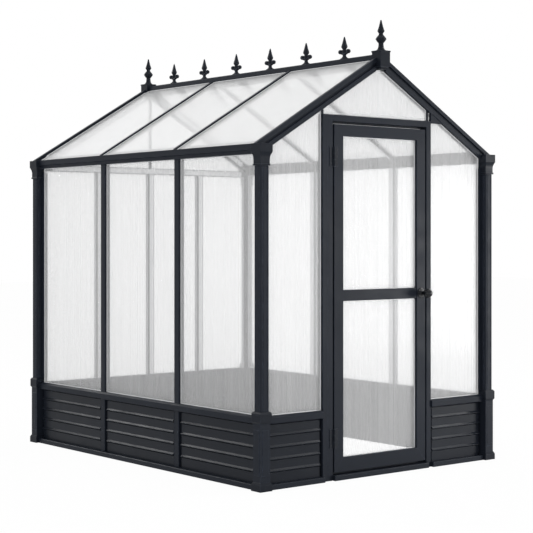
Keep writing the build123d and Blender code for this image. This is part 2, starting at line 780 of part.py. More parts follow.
head_sheet_left = left_bar[1] - bar_bite + slip
head_sheet_right = right_bar[0] + bar_bite - slip
with BuildPart() as front_gable_sheet:
    gable_sheet(-1, [(head_sheet_left, head_top), (head_sheet_right, head_top),
                     (head_sheet_right, gable_top(head_sheet_right)), (apex_out, gable_top(apex_out)),
                     (-apex_out, gable_top(apex_out)), (head_sheet_left, gable_top(head_sheet_left))])
finish(front_gable_sheet, "front_gable_sheet")

king_edge = gable_bar_width / 2 - bar_bite + slip
tie_sheet_bottom = tie_top - sheet_bite
with BuildPart() as back_gable_sheets:
    for hand in (-1, 1):
        reach = tie_end - slip
        gable_sheet(1, [(hand * king_edge, tie_sheet_bottom), (hand * reach, tie_sheet_bottom),
                        (hand * reach, gable_top(reach)), (hand * apex_out, gable_top(apex_out)),
                        (hand * king_edge, gable_top(king_edge))])
finish(back_gable_sheets, "back_gable_sheets")

# Roof sheets on the rafters' beds and in the slots of bars and ridge, notched round capitals and blocks
roof_sheet = slope_strip(slot_bottom_x + 1, sheet_low_end, sheet_below_rafter, sheet_below_rafter + sheet)
bar_sheet_edge = bar_web / 2 + 2 * slip
roof_sheet_end = rafter_outer - rafter_lip - slip
roof_edges = [-roof_sheet_end]
for place in side_mullion_places:
    roof_edges += [place - bar_sheet_edge, place + bar_sheet_edge]
roof_edges.append(roof_sheet_end)
for side, name in ((-1, "left_roof_sheets"), (1, "right_roof_sheets")):
    with BuildPart() as roof_sheets:
        for low, high in zip(roof_edges[::2], roof_edges[1::2]):
            run_along_y(roof_sheet, side, low, high)
        for hand in (-1, 1):
            box_between((side * sheet_edge_x, hand * sheet_edge_y, eave_bottom),
                        (side * eave_outer, hand * rafter_outer, capital_top + block_height), Mode.SUBTRACT)
            box_between((0, hand * (ridge_end - slip), ridge_bottom),
                        (side * (rafter_end + slip), hand * rafter_outer, ridge_top), Mode.SUBTRACT)
    finish(roof_sheets, name)

# Door leaf: four mitred bars round two sheets, with a rail between them
leaf_front = -wall_y
leaf_back = leaf_front + door_depth
glass_half = leaf_half - stile_width
glass_bottom = door_bottom + bottom_rail_height
glass_top = door_top - top_rail_height
door_glaze = leaf_front + door_sheet_depth
outer = [(-leaf_half, door_bottom), (leaf_half, door_bottom),
         (leaf_half, door_top), (-leaf_half, door_top)]
inner = [(-glass_half, glass_bottom), (glass_half, glass_bottom),
         (glass_half, glass_top), (-glass_half, glass_top)]
frame_bars = []
for first in range(4):
    second = (first + 1) % 4
    with BuildPart() as frame_bar:
        run_along_y([outer[first], outer[second], inner[second], inner[first]], 1, leaf_front, leaf_back)
        box_between((-glass_half - slot_depth, door_glaze - sheet_slot, glass_bottom - slot_depth),
                    (glass_half + slot_depth, door_glaze + sheet_slot, glass_top + slot_depth),
                    Mode.SUBTRACT)
    frame_bars.append(frame_bar.part)
door_frame = Compound(children=frame_bars)
door_frame.label = "door_frame"
parts.append(door_frame)

mid_bottom = mid_rail_centre - mid_rail_height / 2
mid_top = mid_rail_centre + mid_rail_height / 2
with BuildPart() as door_mid_rail:
    box_between((-glass_half, leaf_front + mid_rail_setback, mid_bottom), (glass_half, leaf_back, mid_top))
    for level, inward in ((mid_bottom, 1), (mid_top, -1)):
        box_between((-glass_half, door_glaze - sheet_slot, level),
                    (glass_half, door_glaze + sheet_slot, level + inward * slot_depth), Mode.SUBTRACT)
finish(door_mid_rail, "door_mid_rail")

with BuildPart() as door_sheets:
    reach = glass_half + sheet_bite
    for low, high in ((glass_bottom, mid_bottom), (mid_top, glass_top)):
        box_between((-reach, door_glaze - sheet / 2, low - sheet_bite),
                    (reach, door_glaze + sheet / 2, high + sheet_bite))
    for level in (mid_bottom, mid_top):
        inward = 1 if level == mid_bottom else -1
        for hand in (-1, 1):
            box_between((hand * (glass_half - slip), door_glaze - sheet, level - inward * slip),
                        (hand * (reach + 1), door_glaze + sheet, level + inward * slot_depth), Mode.SUBTRACT)
finish(door_sheets, "door_sheets")

# Hinges: two knuckles and the pin on the frame, the middle knuckle on the door
knuckle_length = hinge_length / 3
with BuildPart() as hinge_frame_leaves:
    for height in hinge_heights:
        low = height - hinge_length / 2
        box_between((-opening_half - hinge_plate_width, -wall_y - hinge_plate, low),
                    (-opening_half, -wall_y, low + hinge_length))
        for start in (low, low + 2 * knuckle_length):
            box_between((-opening_half, -wall_y - hinge_plate, start),
                        (pin_x, -wall_y, start + knuckle_length - knuckle_gap))
            with Locations((pin_x, pin_y, start)):
                Cylinder(knuckle_radius, knuckle_length - knuckle_gap,
                         align=(Align.CENTER, Align.CENTER, Align.MIN))
        with Locations((pin_x, pin_y, low)):
            Cylinder(pin_radius, hinge_length, align=(Align.CENTER, Align.CENTER, Align.MIN))
finish(hinge_frame_leaves, "hinge_frame_leaves")

with BuildPart() as hinge_door_leaves:
    for height in hinge_heights:
        low = height - hinge_length / 2
        start = low + knuckle_length
        box_between((-leaf_half, -wall_y - hinge_plate, low),
                    (-leaf_half + hinge_plate_width, -wall_y, low + hinge_length))
        box_between((pin_x, -wall_y - hinge_plate, start),
                    (-leaf_half, -wall_y, start + knuckle_length - knuckle_gap))
        with Locations((pin_x, pin_y, start)):
            Cylinder(knuckle_radius, knuckle_length - knuckle_gap,
                     align=(Align.CENTER, Align.CENTER, Align.MIN))
            Cylinder(pin_radius + slip, hinge_length, mode=Mode.SUBTRACT)
finish(hinge_door_leaves, "hinge_door_leaves")

# Knob: rose, neck and ball in one piece, at the height of the middle rail
knob_x = leaf_half - stile_width / 2
knob_profile = [(0, 0), (rose_radius, 0), (rose_radius, rose_thickness), (knob_neck_radius, rose_thickness)]
for turn in (-66, -24, 24, 60, 90):
    knob_profile.append((ball_radius * cos(radians(turn)), ball_centre + ball_radius * sin(radians(turn))))
with BuildPart() as door_knob:
    with BuildSketch(Plane.XY.offset(mid_rail_centre)):
        Polygon(*[(knob_x + radius, leaf_front - out) for radius, out in knob_profile], align=None)
    revolve(axis=Axis((knob_x, 0, mid_rail_centre), (0, 1, 0)))
finish(door_knob, "door_knob")

os.makedirs("parts", exist_ok=True)
for part in parts:
    export_step(part, f"parts/{part.label}.step")
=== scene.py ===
"""Ridge-roof greenhouse: coated metalwork, fluted twin-wall sheets, glazing strips, fixings and studio.

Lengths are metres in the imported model's own frame: X across the gable, Y along the ridge, Z up, with the
origin on the ground at the middle of the footprint. The gable with the door faces -Y.
"""
import json
import logging
import math
from dataclasses import dataclass, field
from enum import Enum
from typing import Callable, Sequence

import bmesh
import bpy
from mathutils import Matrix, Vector


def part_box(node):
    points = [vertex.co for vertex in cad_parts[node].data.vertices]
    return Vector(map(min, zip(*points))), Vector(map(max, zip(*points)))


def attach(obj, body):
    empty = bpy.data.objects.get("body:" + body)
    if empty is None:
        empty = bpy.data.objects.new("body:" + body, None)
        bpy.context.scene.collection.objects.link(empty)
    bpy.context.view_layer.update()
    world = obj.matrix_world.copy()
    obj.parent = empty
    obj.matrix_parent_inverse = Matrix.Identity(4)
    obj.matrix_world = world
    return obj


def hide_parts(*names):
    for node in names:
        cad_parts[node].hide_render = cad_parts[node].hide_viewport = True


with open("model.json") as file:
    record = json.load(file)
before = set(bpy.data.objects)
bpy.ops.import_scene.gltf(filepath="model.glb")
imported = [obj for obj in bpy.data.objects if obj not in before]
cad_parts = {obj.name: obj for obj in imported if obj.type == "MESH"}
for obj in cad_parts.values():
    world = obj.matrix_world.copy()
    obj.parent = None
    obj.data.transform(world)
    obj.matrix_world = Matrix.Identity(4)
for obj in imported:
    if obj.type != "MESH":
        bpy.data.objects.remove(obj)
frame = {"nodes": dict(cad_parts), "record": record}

LOG = logging.getLogger("greenhouse")
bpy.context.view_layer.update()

Point2 = tuple[float, float]
Color = tuple[float, float, float]
Shape = tuple[list[Vector], list[tuple[int, ...]]]
Piece = bpy.types.Object
Socket = bpy.types.NodeSocket

ROOF_PITCH = math.radians(30.7)
UP = Vector((0, 0, 1))
RIGHT = Vector((1, 0, 0))
FRONT = Vector((0, -1, 0))
WHITE = (1.0, 1.0, 1.0, 1.0)
NOISE_MIDDLE = (0.3, 0.7)


class Surface(Enum):
    """The planes of the greenhouse that carry sheets."""

    SIDE = "side"
    GABLE = "gable"
    ROOF_LEFT = "roof_left"
    ROOF_RIGHT = "roof_right"


@dataclass(frozen=True)
class SheetAxes:
    """Directions of a sheet: across its flutes, along them, and square to its face."""

    across: Vector
    along: Vector
    normal: Vector

    @staticmethod
    def of(surface: Surface) -> "SheetAxes":
        """Give the directions on one of the greenhouse's surfaces.

        Args:
            surface: The plane that the sheet lies in.

        Returns:
            The three unit directions.
        """
        if surface is Surface.SIDE:
            return SheetAxes(Vector((0, 1, 0)), UP, RIGHT)
        if surface is Surface.GABLE:
            return SheetAxes(RIGHT, UP, FRONT)
        hand = -1 if surface is Surface.ROOF_LEFT else 1
        uphill = Vector((-hand * math.cos(ROOF_PITCH), 0, math.sin(ROOF_PITCH)))
        outward = Vector((hand * math.sin(ROOF_PITCH), 0, math.cos(ROOF_PITCH)))
        return SheetAxes(Vector((0, 1, 0)), uphill, outward)

    def place(self, across: float, along: float, out: float) -> Vector:
        """Turn distances along the three directions into a point of the model."""
        return self.across * across + self.along * along + self.normal * out


class NodePlan:
    """A node tree, with short calls to add and join its nodes."""

    def __init__(self, tree: bpy.types.NodeTree) -> None:
        """Take a tree over and empty it.

        Args:
            tree: The tree to build in.
        """
        self.tree = tree
        self.tree.nodes.clear()

    def add(self, kind: str, inputs: dict | None = None, **settings: object) -> bpy.types.Node:
        """Add one node.

        Args:
            kind: The node's type.
            inputs: Values or source sockets for its input sockets, by name or index.
            settings: Properties of the node.

        Returns:
            The new node.
        """
        node = self.tree.nodes.new(kind)
        for name, value in settings.items():
            setattr(node, name, value)
        for key, value in (inputs or {}).items():
            if isinstance(value, Socket):
                self.tree.links.new(value, node.inputs[key])
            else:
                node.inputs[key].default_value = value
        return node

    def math(self, operation: str, *values: Socket | float) -> Socket:
        """Do one sum on values or sockets, and give the result's socket."""
        return self.add("ShaderNodeMath", dict(enumerate(values)), operation=operation).outputs[0]

    def dot(self, first: Socket, second: Socket | Sequence[float]) -> Socket:
        """Give the dot product of two vectors."""
        inputs = {0: first, 1: second}
        return self.add("ShaderNodeVectorMath", inputs, operation="DOT_PRODUCT").outputs["Value"]

    def scaled(self, vector: Socket | Sequence[float], level: Socket) -> Socket:
        """Give a vector or colour times a level."""
        inputs = {0: vector, "Scale": level}
        return self.add("ShaderNodeVectorMath", inputs, operation="SCALE").outputs[0]

    def mapped(self, value: Socket, given: Point2, wanted: Point2) -> Socket:
        """Stretch one range of a value over another.

        Args:
            value: The value to stretch.
            given: The range that it has.
            wanted: The range that it gets, with all beyond it cut off.

        Returns:
            The stretched value's socket.
        """
        inputs = {"Value": value, "From Min": given[0], "From Max": given[1],
                  "To Min": wanted[0], "To Max": wanted[1]}
        return self.add("ShaderNodeMapRange", inputs).outputs[0]

    def seen(self) -> Socket:
        """Tell rays that see the studio from rays that carry its light.

        Returns:
            1 from the camera, off gloss and through clear sheets, and 0 otherwise.
        """
        path = self.add("ShaderNodeLightPath").outputs
        bent = self.math("MAXIMUM", path["Is Glossy Ray"], path["Is Transmission Ray"])
        return self.math("MAXIMUM", path["Is Camera Ray"], bent)


class NodeSheet(NodePlan):
    """A material's node tree, read in the object's own coordinates."""

    def __init__(self, name: str) -> None:
        """Start a material.

        Args:
            name: The material's name.
        """
        self.material = bpy.data.materials.new(name)
        self.material.use_nodes = True
        super().__init__(self.material.node_tree)
        self.point = self.add("ShaderNodeTexCoord").outputs["Object"]

    def noise(self, grains: float, detail: float) -> Socket:
        """Give a smooth random value over space, from 0 to 1.

        Args:
            grains: Grains per metre.
            detail: Octaves of finer grain.

        Returns:
            The value's socket.
        """
        inputs = {"Vector": self.point, "Scale": grains, "Detail": detail}
        return self.add("ShaderNodeTexNoise", inputs).outputs[0]

    def drift(self, grains: float, detail: float, low: float, high: float) -> Socket:
        """Give a value that wanders over the piece between two levels.

        Args:
            grains: Grains per metre.
            detail: Octaves of finer grain.
            low: The lowest level.
            high: The highest level.

        Returns:
            The value's socket.
        """
        return self.mapped(self.noise(grains, detail), NOISE_MIDDLE, (low, high))

    def stripes(self, place: Socket, grains: float, detail: float, reach: float) -> Socket:
        """Give a value that changes along one line only, between minus and plus a reach.

        Args:
            place: Distance along the line.
            grains: Stripes per metre.
            detail: Octaves of finer stripes.
            reach: How far it strays from nought.

        Returns:
            The value's socket.
        """
        inputs = {"W": place, "Scale": grains, "Detail": detail}
        value = self.add("ShaderNodeTexNoise", inputs, noise_dimensions="1D").outputs[0]
        return self.mapped(value, NOISE_MIDDLE, (-reach, reach))

    def bump(self, grains: float, depth: float, strength: float) -> Socket:
        """Give the normal of a finely grained skin.

        Args:
            grains: Grains per metre.
            depth: Their depth.
            strength: How far the shading follows them.

        Returns:
            The normal's socket.
        """
        inputs = {"Height": self.noise(grains, 2.0), "Distance": depth, "Strength": strength}
        return self.add("ShaderNodeBump", inputs).outputs[0]

    def finish(self, shader: bpy.types.Node) -> bpy.types.Material:
        """Join a shader to the output and give the material."""
        self.add("ShaderNodeOutputMaterial", {"Surface": shader.outputs[0]})
        return self.material


@dataclass(frozen=True)
class PowderCoat:
    """Baked powder coat over metal: a fine orange peel, drifting tone, and edges painted paler in patches,
    partly as wear and partly as a painted highlight.
    """

    name: str
    color: Color
    roughness: float = 0.40
    drift: float = 0.10
    # How much paler the edge patches are painted: edge wear and a painted highlight together.
    rubbed_and_highlight: float = 6.0
    peel_grains: float = 620.0
    peel_depth: float = 0.00006
    peel_strength: float = 0.6
    specular: float = 0.08
    edge: float = 0.0024
    edge_turn: Point2 = (0.995, 0.86)
    tone_grains: float = 2.3
    wear_and_highlight_grains: float = 34.0
    gloss_grains: float = 9.0
    gloss_reach: Point2 = (-0.05, 0.07)

    def build(self) -> bpy.types.Material:
        """Build the finish as a procedural material.

        Returns:
            The material.
        """
        sheet = NodeSheet(self.name)
        smoother, rougher = (self.roughness + change for change in self.gloss_reach)
        tone = sheet.drift(self.tone_grains, 5.0, 1.0 - self.drift, 1.0 + self.drift)
        # Edges are painted paler in patches: partly edge wear, partly a painted highlight standing in for
        # lamp glints on the eased edges.
        eased = sheet.add("ShaderNodeBevel", {"Radius": self.edge}, samples=4).outputs[0]
        turned_by = sheet.dot(eased, sheet.add("ShaderNodeNewGeometry").outputs["Normal"])
        rim = sheet.mapped(turned_by, self.edge_turn, (0.0, 1.0))
        worn_and_highlit = sheet.math("MULTIPLY", rim, sheet.drift(self.wear_and_highlight_grains, 4.0, 0.0, 1.0))
        lift = sheet.math("MULTIPLY_ADD", worn_and_highlit, self.rubbed_and_highlight - 1.0, 1.0)
        coat = sheet.add("ShaderNodeBsdfPrincipled", {
            "Base Color": sheet.scaled(self.color, sheet.math("MULTIPLY", tone, lift)),
            "Roughness": sheet.drift(self.gloss_grains, 4.0, smoother, rougher),
            "Normal": sheet.bump(self.peel_grains, self.peel_depth, self.peel_strength),
            "Specular IOR Level": self.specular})
        return sheet.finish(coat)


@dataclass(frozen=True)
class TwinWall:
    """Milky twin-wall sheet: part clear, part scattering, with uneven flutes and a glossy skin."""

    name: str
    across: tuple[float, float, float]
    color: Color = (0.93, 0.934, 0.938)
    clear: float = 0.14
    opacity: float = 0.25
    roughness: float = 0.35
    coat: float = 0.3
    coat_roughness: float = 0.12
    streak: float = 0.045
    rib: float = 0.05
    rib_sharpness: float = 6.0
    rib_pitch: float = 0.008
    streak_grains: float = 210.0
    broad_grains: float = 14.0
    broad_share: float = 0.25
    tone_grains: float = 1.4
    tone_reach: Point2 = (0.97, 1.0)
    gloss_grains: float = 6.0
    gloss_reach: Point2 = (-0.03, 0.04)
    bending: float = 1.22

    def build(self) -> bpy.types.Material:
        """Build the finish as a procedural material.

        Returns:
            The material.
        """
        sheet = NodeSheet(self.name)
        smoother, rougher = (self.roughness + change for change in self.gloss_reach)
        place = sheet.dot(sheet.point, self.across)
        turns = sheet.math("MULTIPLY", place, 2.0 * math.pi / self.rib_pitch)
        ridge = sheet.math("POWER", sheet.math("ABSOLUTE", sheet.math("SINE", turns)), self.rib_sharpness)
        milk = sheet.math("ADD", sheet.stripes(place, self.streak_grains, 4.0, self.streak),
                          sheet.stripes(place, self.broad_grains, 2.0, self.streak * self.broad_share))
        milk = sheet.math("ADD", milk, sheet.math("MULTIPLY", ridge, self.rib))
        skin = sheet.add("ShaderNodeBsdfPrincipled", {
            "Base Color": sheet.scaled(self.color, sheet.drift(self.tone_grains, 3.0, *self.tone_reach)),
            "Roughness": sheet.drift(self.gloss_grains, 3.0, smoother, rougher),
            "Transmission Weight": sheet.math("SUBTRACT", self.clear, milk), "IOR": self.bending,
            "Coat Weight": self.coat, "Coat Roughness": self.coat_roughness,
            "Alpha": sheet.math("ADD", milk, self.opacity)})
        return sheet.finish(skin)


@dataclass(frozen=True)
class SoftPlastic:
    """Extruded plastic strip with a faint bloom and small drifts of tone."""

    name: str
    color: Color
    roughness: float = 0.5
    tone_grains: float = 12.0
    tone_reach: Point2 = (0.94, 1.0)
    gloss_grains: float = 40.0
    gloss_reach: Point2 = (-0.05, 0.05)
    skin_grains: float = 900.0
    skin_depth: float = 0.00004
    skin_strength: float = 0.5

    def build(self) -> bpy.types.Material:
        """Build the finish as a procedural material.

        Returns:
            The material.
        """
        sheet = NodeSheet(self.name)
        smoother, rougher = (self.roughness + change for change in self.gloss_reach)
        strip = sheet.add("ShaderNodeBsdfPrincipled", {
            "Base Color": sheet.scaled(self.color, sheet.drift(self.tone_grains, 4.0, *self.tone_reach)),
            "Roughness": sheet.drift(self.gloss_grains, 2.0, smoother, rougher),
            "Normal": sheet.bump(self.skin_grains, self.skin_depth, self.skin_strength)})
        return sheet.finish(strip)


@dataclass
class Finishes:
    """Every finish on the greenhouse, built once and handed out by name."""

    frame_color: Color = (0.0118, 0.0147, 0.0212)
    board_color: Color = (0.0088, 0.0112, 0.0165)
    casting_color: Color = (0.0098, 0.0122, 0.0175)
    hardware_color: Color = (0.0050, 0.0060, 0.0080)
    screw_color: Color = (0.013, 0.014, 0.016)
    strip_color: Color = (0.70, 0.71, 0.72)
    # Pale colour of the strips that paint light on the bars' inner faces and a highlight over the door leaf.
    painted_light_color: Color = (0.68, 0.685, 0.695)

    def __post_init__(self) -> None:
        """Build the materials."""
        self.by_slot = {
            "coated_frame": PowderCoat("coated_frame_finish", self.frame_color).build(),
            "skirt_boards": PowderCoat("skirt_board_finish", self.board_color, roughness=0.34,
                                       specular=0.11).build(),
            "castings": PowderCoat("casting_finish", self.casting_color, roughness=0.34,
                                   peel_depth=0.0001).build(),
            "hardware": PowderCoat("hardware_finish", self.hardware_color, roughness=0.26, specular=0.25,
                                   drift=0.05).build(),
        }
        self.hinge = PowderCoat("hinge_finish", self.casting_color, roughness=0.42, specular=0.12).build()
        roof = TwinWall("twin_wall_roof", (0, 1, 0), opacity=0.50, streak=0.008, rib=0.02, coat=1.0,
                        coat_roughness=0.05).build()
        self.sheets = {
            Surface.SIDE: TwinWall("twin_wall_sides", (0, 1, 0)).build(),
            Surface.GABLE: TwinWall("twin_wall_gables_and_door", (1, 0, 0)).build(),
            Surface.ROOF_LEFT: roof,
            Surface.ROOF_RIGHT: roof,
        }
        self.strip = SoftPlastic("glazing_strip", self.strip_color).build()
        # Pale finish of the strips that paint light on the bars' inner faces and a highlight over the door
        # leaf.
        self.painted_light = SoftPlastic("painted_light_strip", self.painted_light_color, roughness=0.42).build()
        self.screw = PowderCoat("screw_finish", self.screw_color, roughness=0.32).build()


def add_piece(name: str, mesh: bpy.types.Mesh) -> Piece:
    """Link a mesh into the scene as an object at the origin.

    Args:
        name: The object's name.
        mesh: Its mesh.

    Returns:
        The new piece.
    """
    piece = bpy.data.objects.new(name, mesh)
    bpy.context.scene.collection.objects.link(piece)
    return piece


def piece_of(name: str, shapes: Sequence[Shape], weld: bool = True) -> Piece:
    """Add one piece made of closed shapes, with all its faces pointing outwards.

    Args:
        name: The name of the piece and its mesh.
        shapes: Corners and faces of each shape.
        weld: Whether corners at one place are joined.

    Returns:
        The new piece.
    """
    same_place = 1e-6
    verts, faces = [], []
    for corners, sides in shapes:
        faces += [tuple(corner + len(verts) for corner in side) for side in sides]
        verts += [tuple(corner) for corner in corners]
    mesh = bpy.data.meshes.new(name)
    mesh.from_pydata(verts, [], faces)
    solid = bmesh.new()
    solid.from_mesh(mesh)
    if weld:
        bmesh.ops.remove_doubles(solid, verts=solid.verts, dist=same_place)
    bmesh.ops.recalc_face_normals(solid, faces=solid.faces)
    solid.to_mesh(mesh)
    solid.free()
    return add_piece(name, mesh)


def settle(piece: Piece) -> None:
    """Turn a piece's modifiers into its mesh and take them off.

    Args:
        piece: The object, with its modifiers live.
    """
    bpy.context.view_layer.update()
    graph = bpy.context.evaluated_depsgraph_get()
    result = bpy.data.meshes.new_from_object(piece.evaluated_get(graph))
    piece.modifiers.clear()
    old = piece.data
    piece.data = result
    if old.users == 0:
        bpy.data.meshes.remove(old)


def smooth(piece: Piece, sharp_over: float = 40.0) -> None:
    """Shade a piece smooth, with the edges over an angle kept sharp."""
    piece.data.shade_smooth()
    piece.data.set_sharp_from_angle(angle=math.radians(sharp_over))


def body_of_node(node: str) -> str:
    """Find the rigid body that a CAD node belongs to.

    Args:
        node: The node's name.

    Returns:
        The body's name.
    """
    for body, nodes in frame["record"]["behaviour"]["bodies"].items():
        if node in nodes:
            return body
    raise KeyError(node)


def merged_copy(node: str, group_of: Callable[[Vector], int] | None = None) -> bmesh.types.BMesh:
    """Copy a CAD node's triangles with their shared corners joined.

    Args:
        node: The node's name.
        group_of: Tells solids that touch apart, from a point inside each, so that they stay apart.

    Returns:
        A bmesh that the caller frees.
    """
    just_inside, same_place = 0.0004, 2e-5
    loose = bmesh.new()
    loose.from_mesh(frame["nodes"][node].data)
    groups = {}
    for face in loose.faces:
        inside = face.calc_center_median() - face.normal * just_inside
        group = group_of(inside) if group_of else 0
        groups.setdefault(group, []).append([vert.co.copy() for vert in face.verts])
    loose.free()
    solid = bmesh.new()
    for triangles in groups.values():
        first = len(solid.verts)
        for corners in triangles:
            solid.faces.new([solid.verts.new(corner) for corner in corners])
        solid.verts.ensure_lookup_table()
        bmesh.ops.remove_doubles(solid, verts=solid.verts[first:], dist=same_place)
        solid.verts.index_update()
    solid.normal_update()
    return solid


def islands_of(solid: bmesh.types.BMesh) -> list[list[bmesh.types.BMFace]]:
    """Part a mesh into its separate solids.

    Args:
        solid: The mesh, with its shared corners joined.

    Returns:
        The faces of each solid.
    """
    islands = []
    waiting = set(solid.faces)
    for start in solid.faces:
        if start not in waiting:
            continue
        waiting.discard(start)
        island, ahead = [], [start]
        while ahead:
            face = ahead.pop()
            island.append(face)
            for edge in face.edges:
                for other in edge.link_faces:
                    if other in waiting:
                        waiting.discard(other)
                        ahead.append(other)
        islands.append(island)
    return islands


def leaf_bar_of(point: Vector) -> int:
    """Tell which of the door leaf's four mitred bars holds a point.

    Args:
        point: A point inside the leaf's frame.

    Returns:
        0 and 1 for the left and right stile, 2 and 3 for the bottom and top rail.
    """
    low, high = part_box("door_frame")
    stile, top_rail, bottom_rail = 0.067, 0.065, 0.079
    shares = ((point.x - low[0]) / stile, (high[0] - point.x) / stile,
              (point.z - low[2]) / bottom_rail, (high[2] - point.z) / top_rail)
    return shares.index(min(shares))


def loft_faces(first: int, around: int, rings: int) -> list[tuple[int, ...]]:
    """Give the faces of a closed tube of rings whose corners follow one another.

    Args:
        first: Number of the first ring's first corner.
        around: Corners on each ring.
        rings: How many rings there are.

    Returns:
        The faces, with the two ends last.
    """
    faces = []
    last = first + (rings - 1) * around
    for here in range(first, last, around):
        for step in range(around):
            nearby = (step + 1) % around
            faces.append((here + step, here + nearby, here + around + nearby, here + around + step))
    return faces + [tuple(range(first, first + around)), tuple(range(last, last + around))]


def flowing(points: Sequence[Point2], steps: int = 3) -> list[Point2]:
    """Run a smooth curve through the points of a turned profile.

    Args:
        points: Radius and height of each point, and a point given twice stays a crisp corner.
        steps: Pieces that each span is cut into.

    Returns:
        The finer profile.
    """
    fine = []
    last = len(points) - 1
    for index in range(last):
        here, ahead = points[index], points[index + 1]
        if here == ahead:
            continue
        before = here if index == 0 or points[index - 1] == here else points[index - 1]
        after = ahead if index + 2 > last or points[index + 2] == ahead else points[index + 2]
        for step in range(steps):
            t = step / steps
            weights = (-t ** 3 + 2 * t ** 2 - t, 3 * t ** 3 - 5 * t ** 2 + 2,
                       -3 * t ** 3 + 4 * t ** 2 + t, t ** 3 - t ** 2)
            fine.append(tuple(sum(w * p[axis] for w, p in zip(weights, (before, here, ahead, after))) / 2
                              for axis in (0, 1)))
    return fine + [points[-1]]


def turned(profile: Sequence[Point2], around: int, root: Vector, axis: Vector, first: Vector,
           squareness: float = 2.0, flatten: float = 1.0) -> Shape:
    """Turn a profile round an axis into a closed body.

    Args:
        profile: Radius and height of each ring, from one end to the other.
        around: Corners on each ring.
        root: Where height is nought.
        axis: Direction of the axis.
        first: A direction square to the axis.
        squareness: Two for a round section, more for a rounded square.
        flatten: Share of its width that the section keeps along the first direction.

    Returns:
        The corners and faces.
    """
    second = axis.cross(first)
    least = 1e-5
    verts = []
    for radius, height in profile:
        for step in range(around):
            turn = 2 * math.pi * (step + 0.5) / around
            c, s = math.cos(turn), math.sin(turn)
            swell = (abs(c) ** squareness + abs(s) ** squareness) ** (-1 / squareness)
            reach = max(radius, least) * swell
            verts.append(root + axis * height + first * (reach * c * flatten) + second * (reach * s))
    return verts, loft_faces(0, around, len(profile))


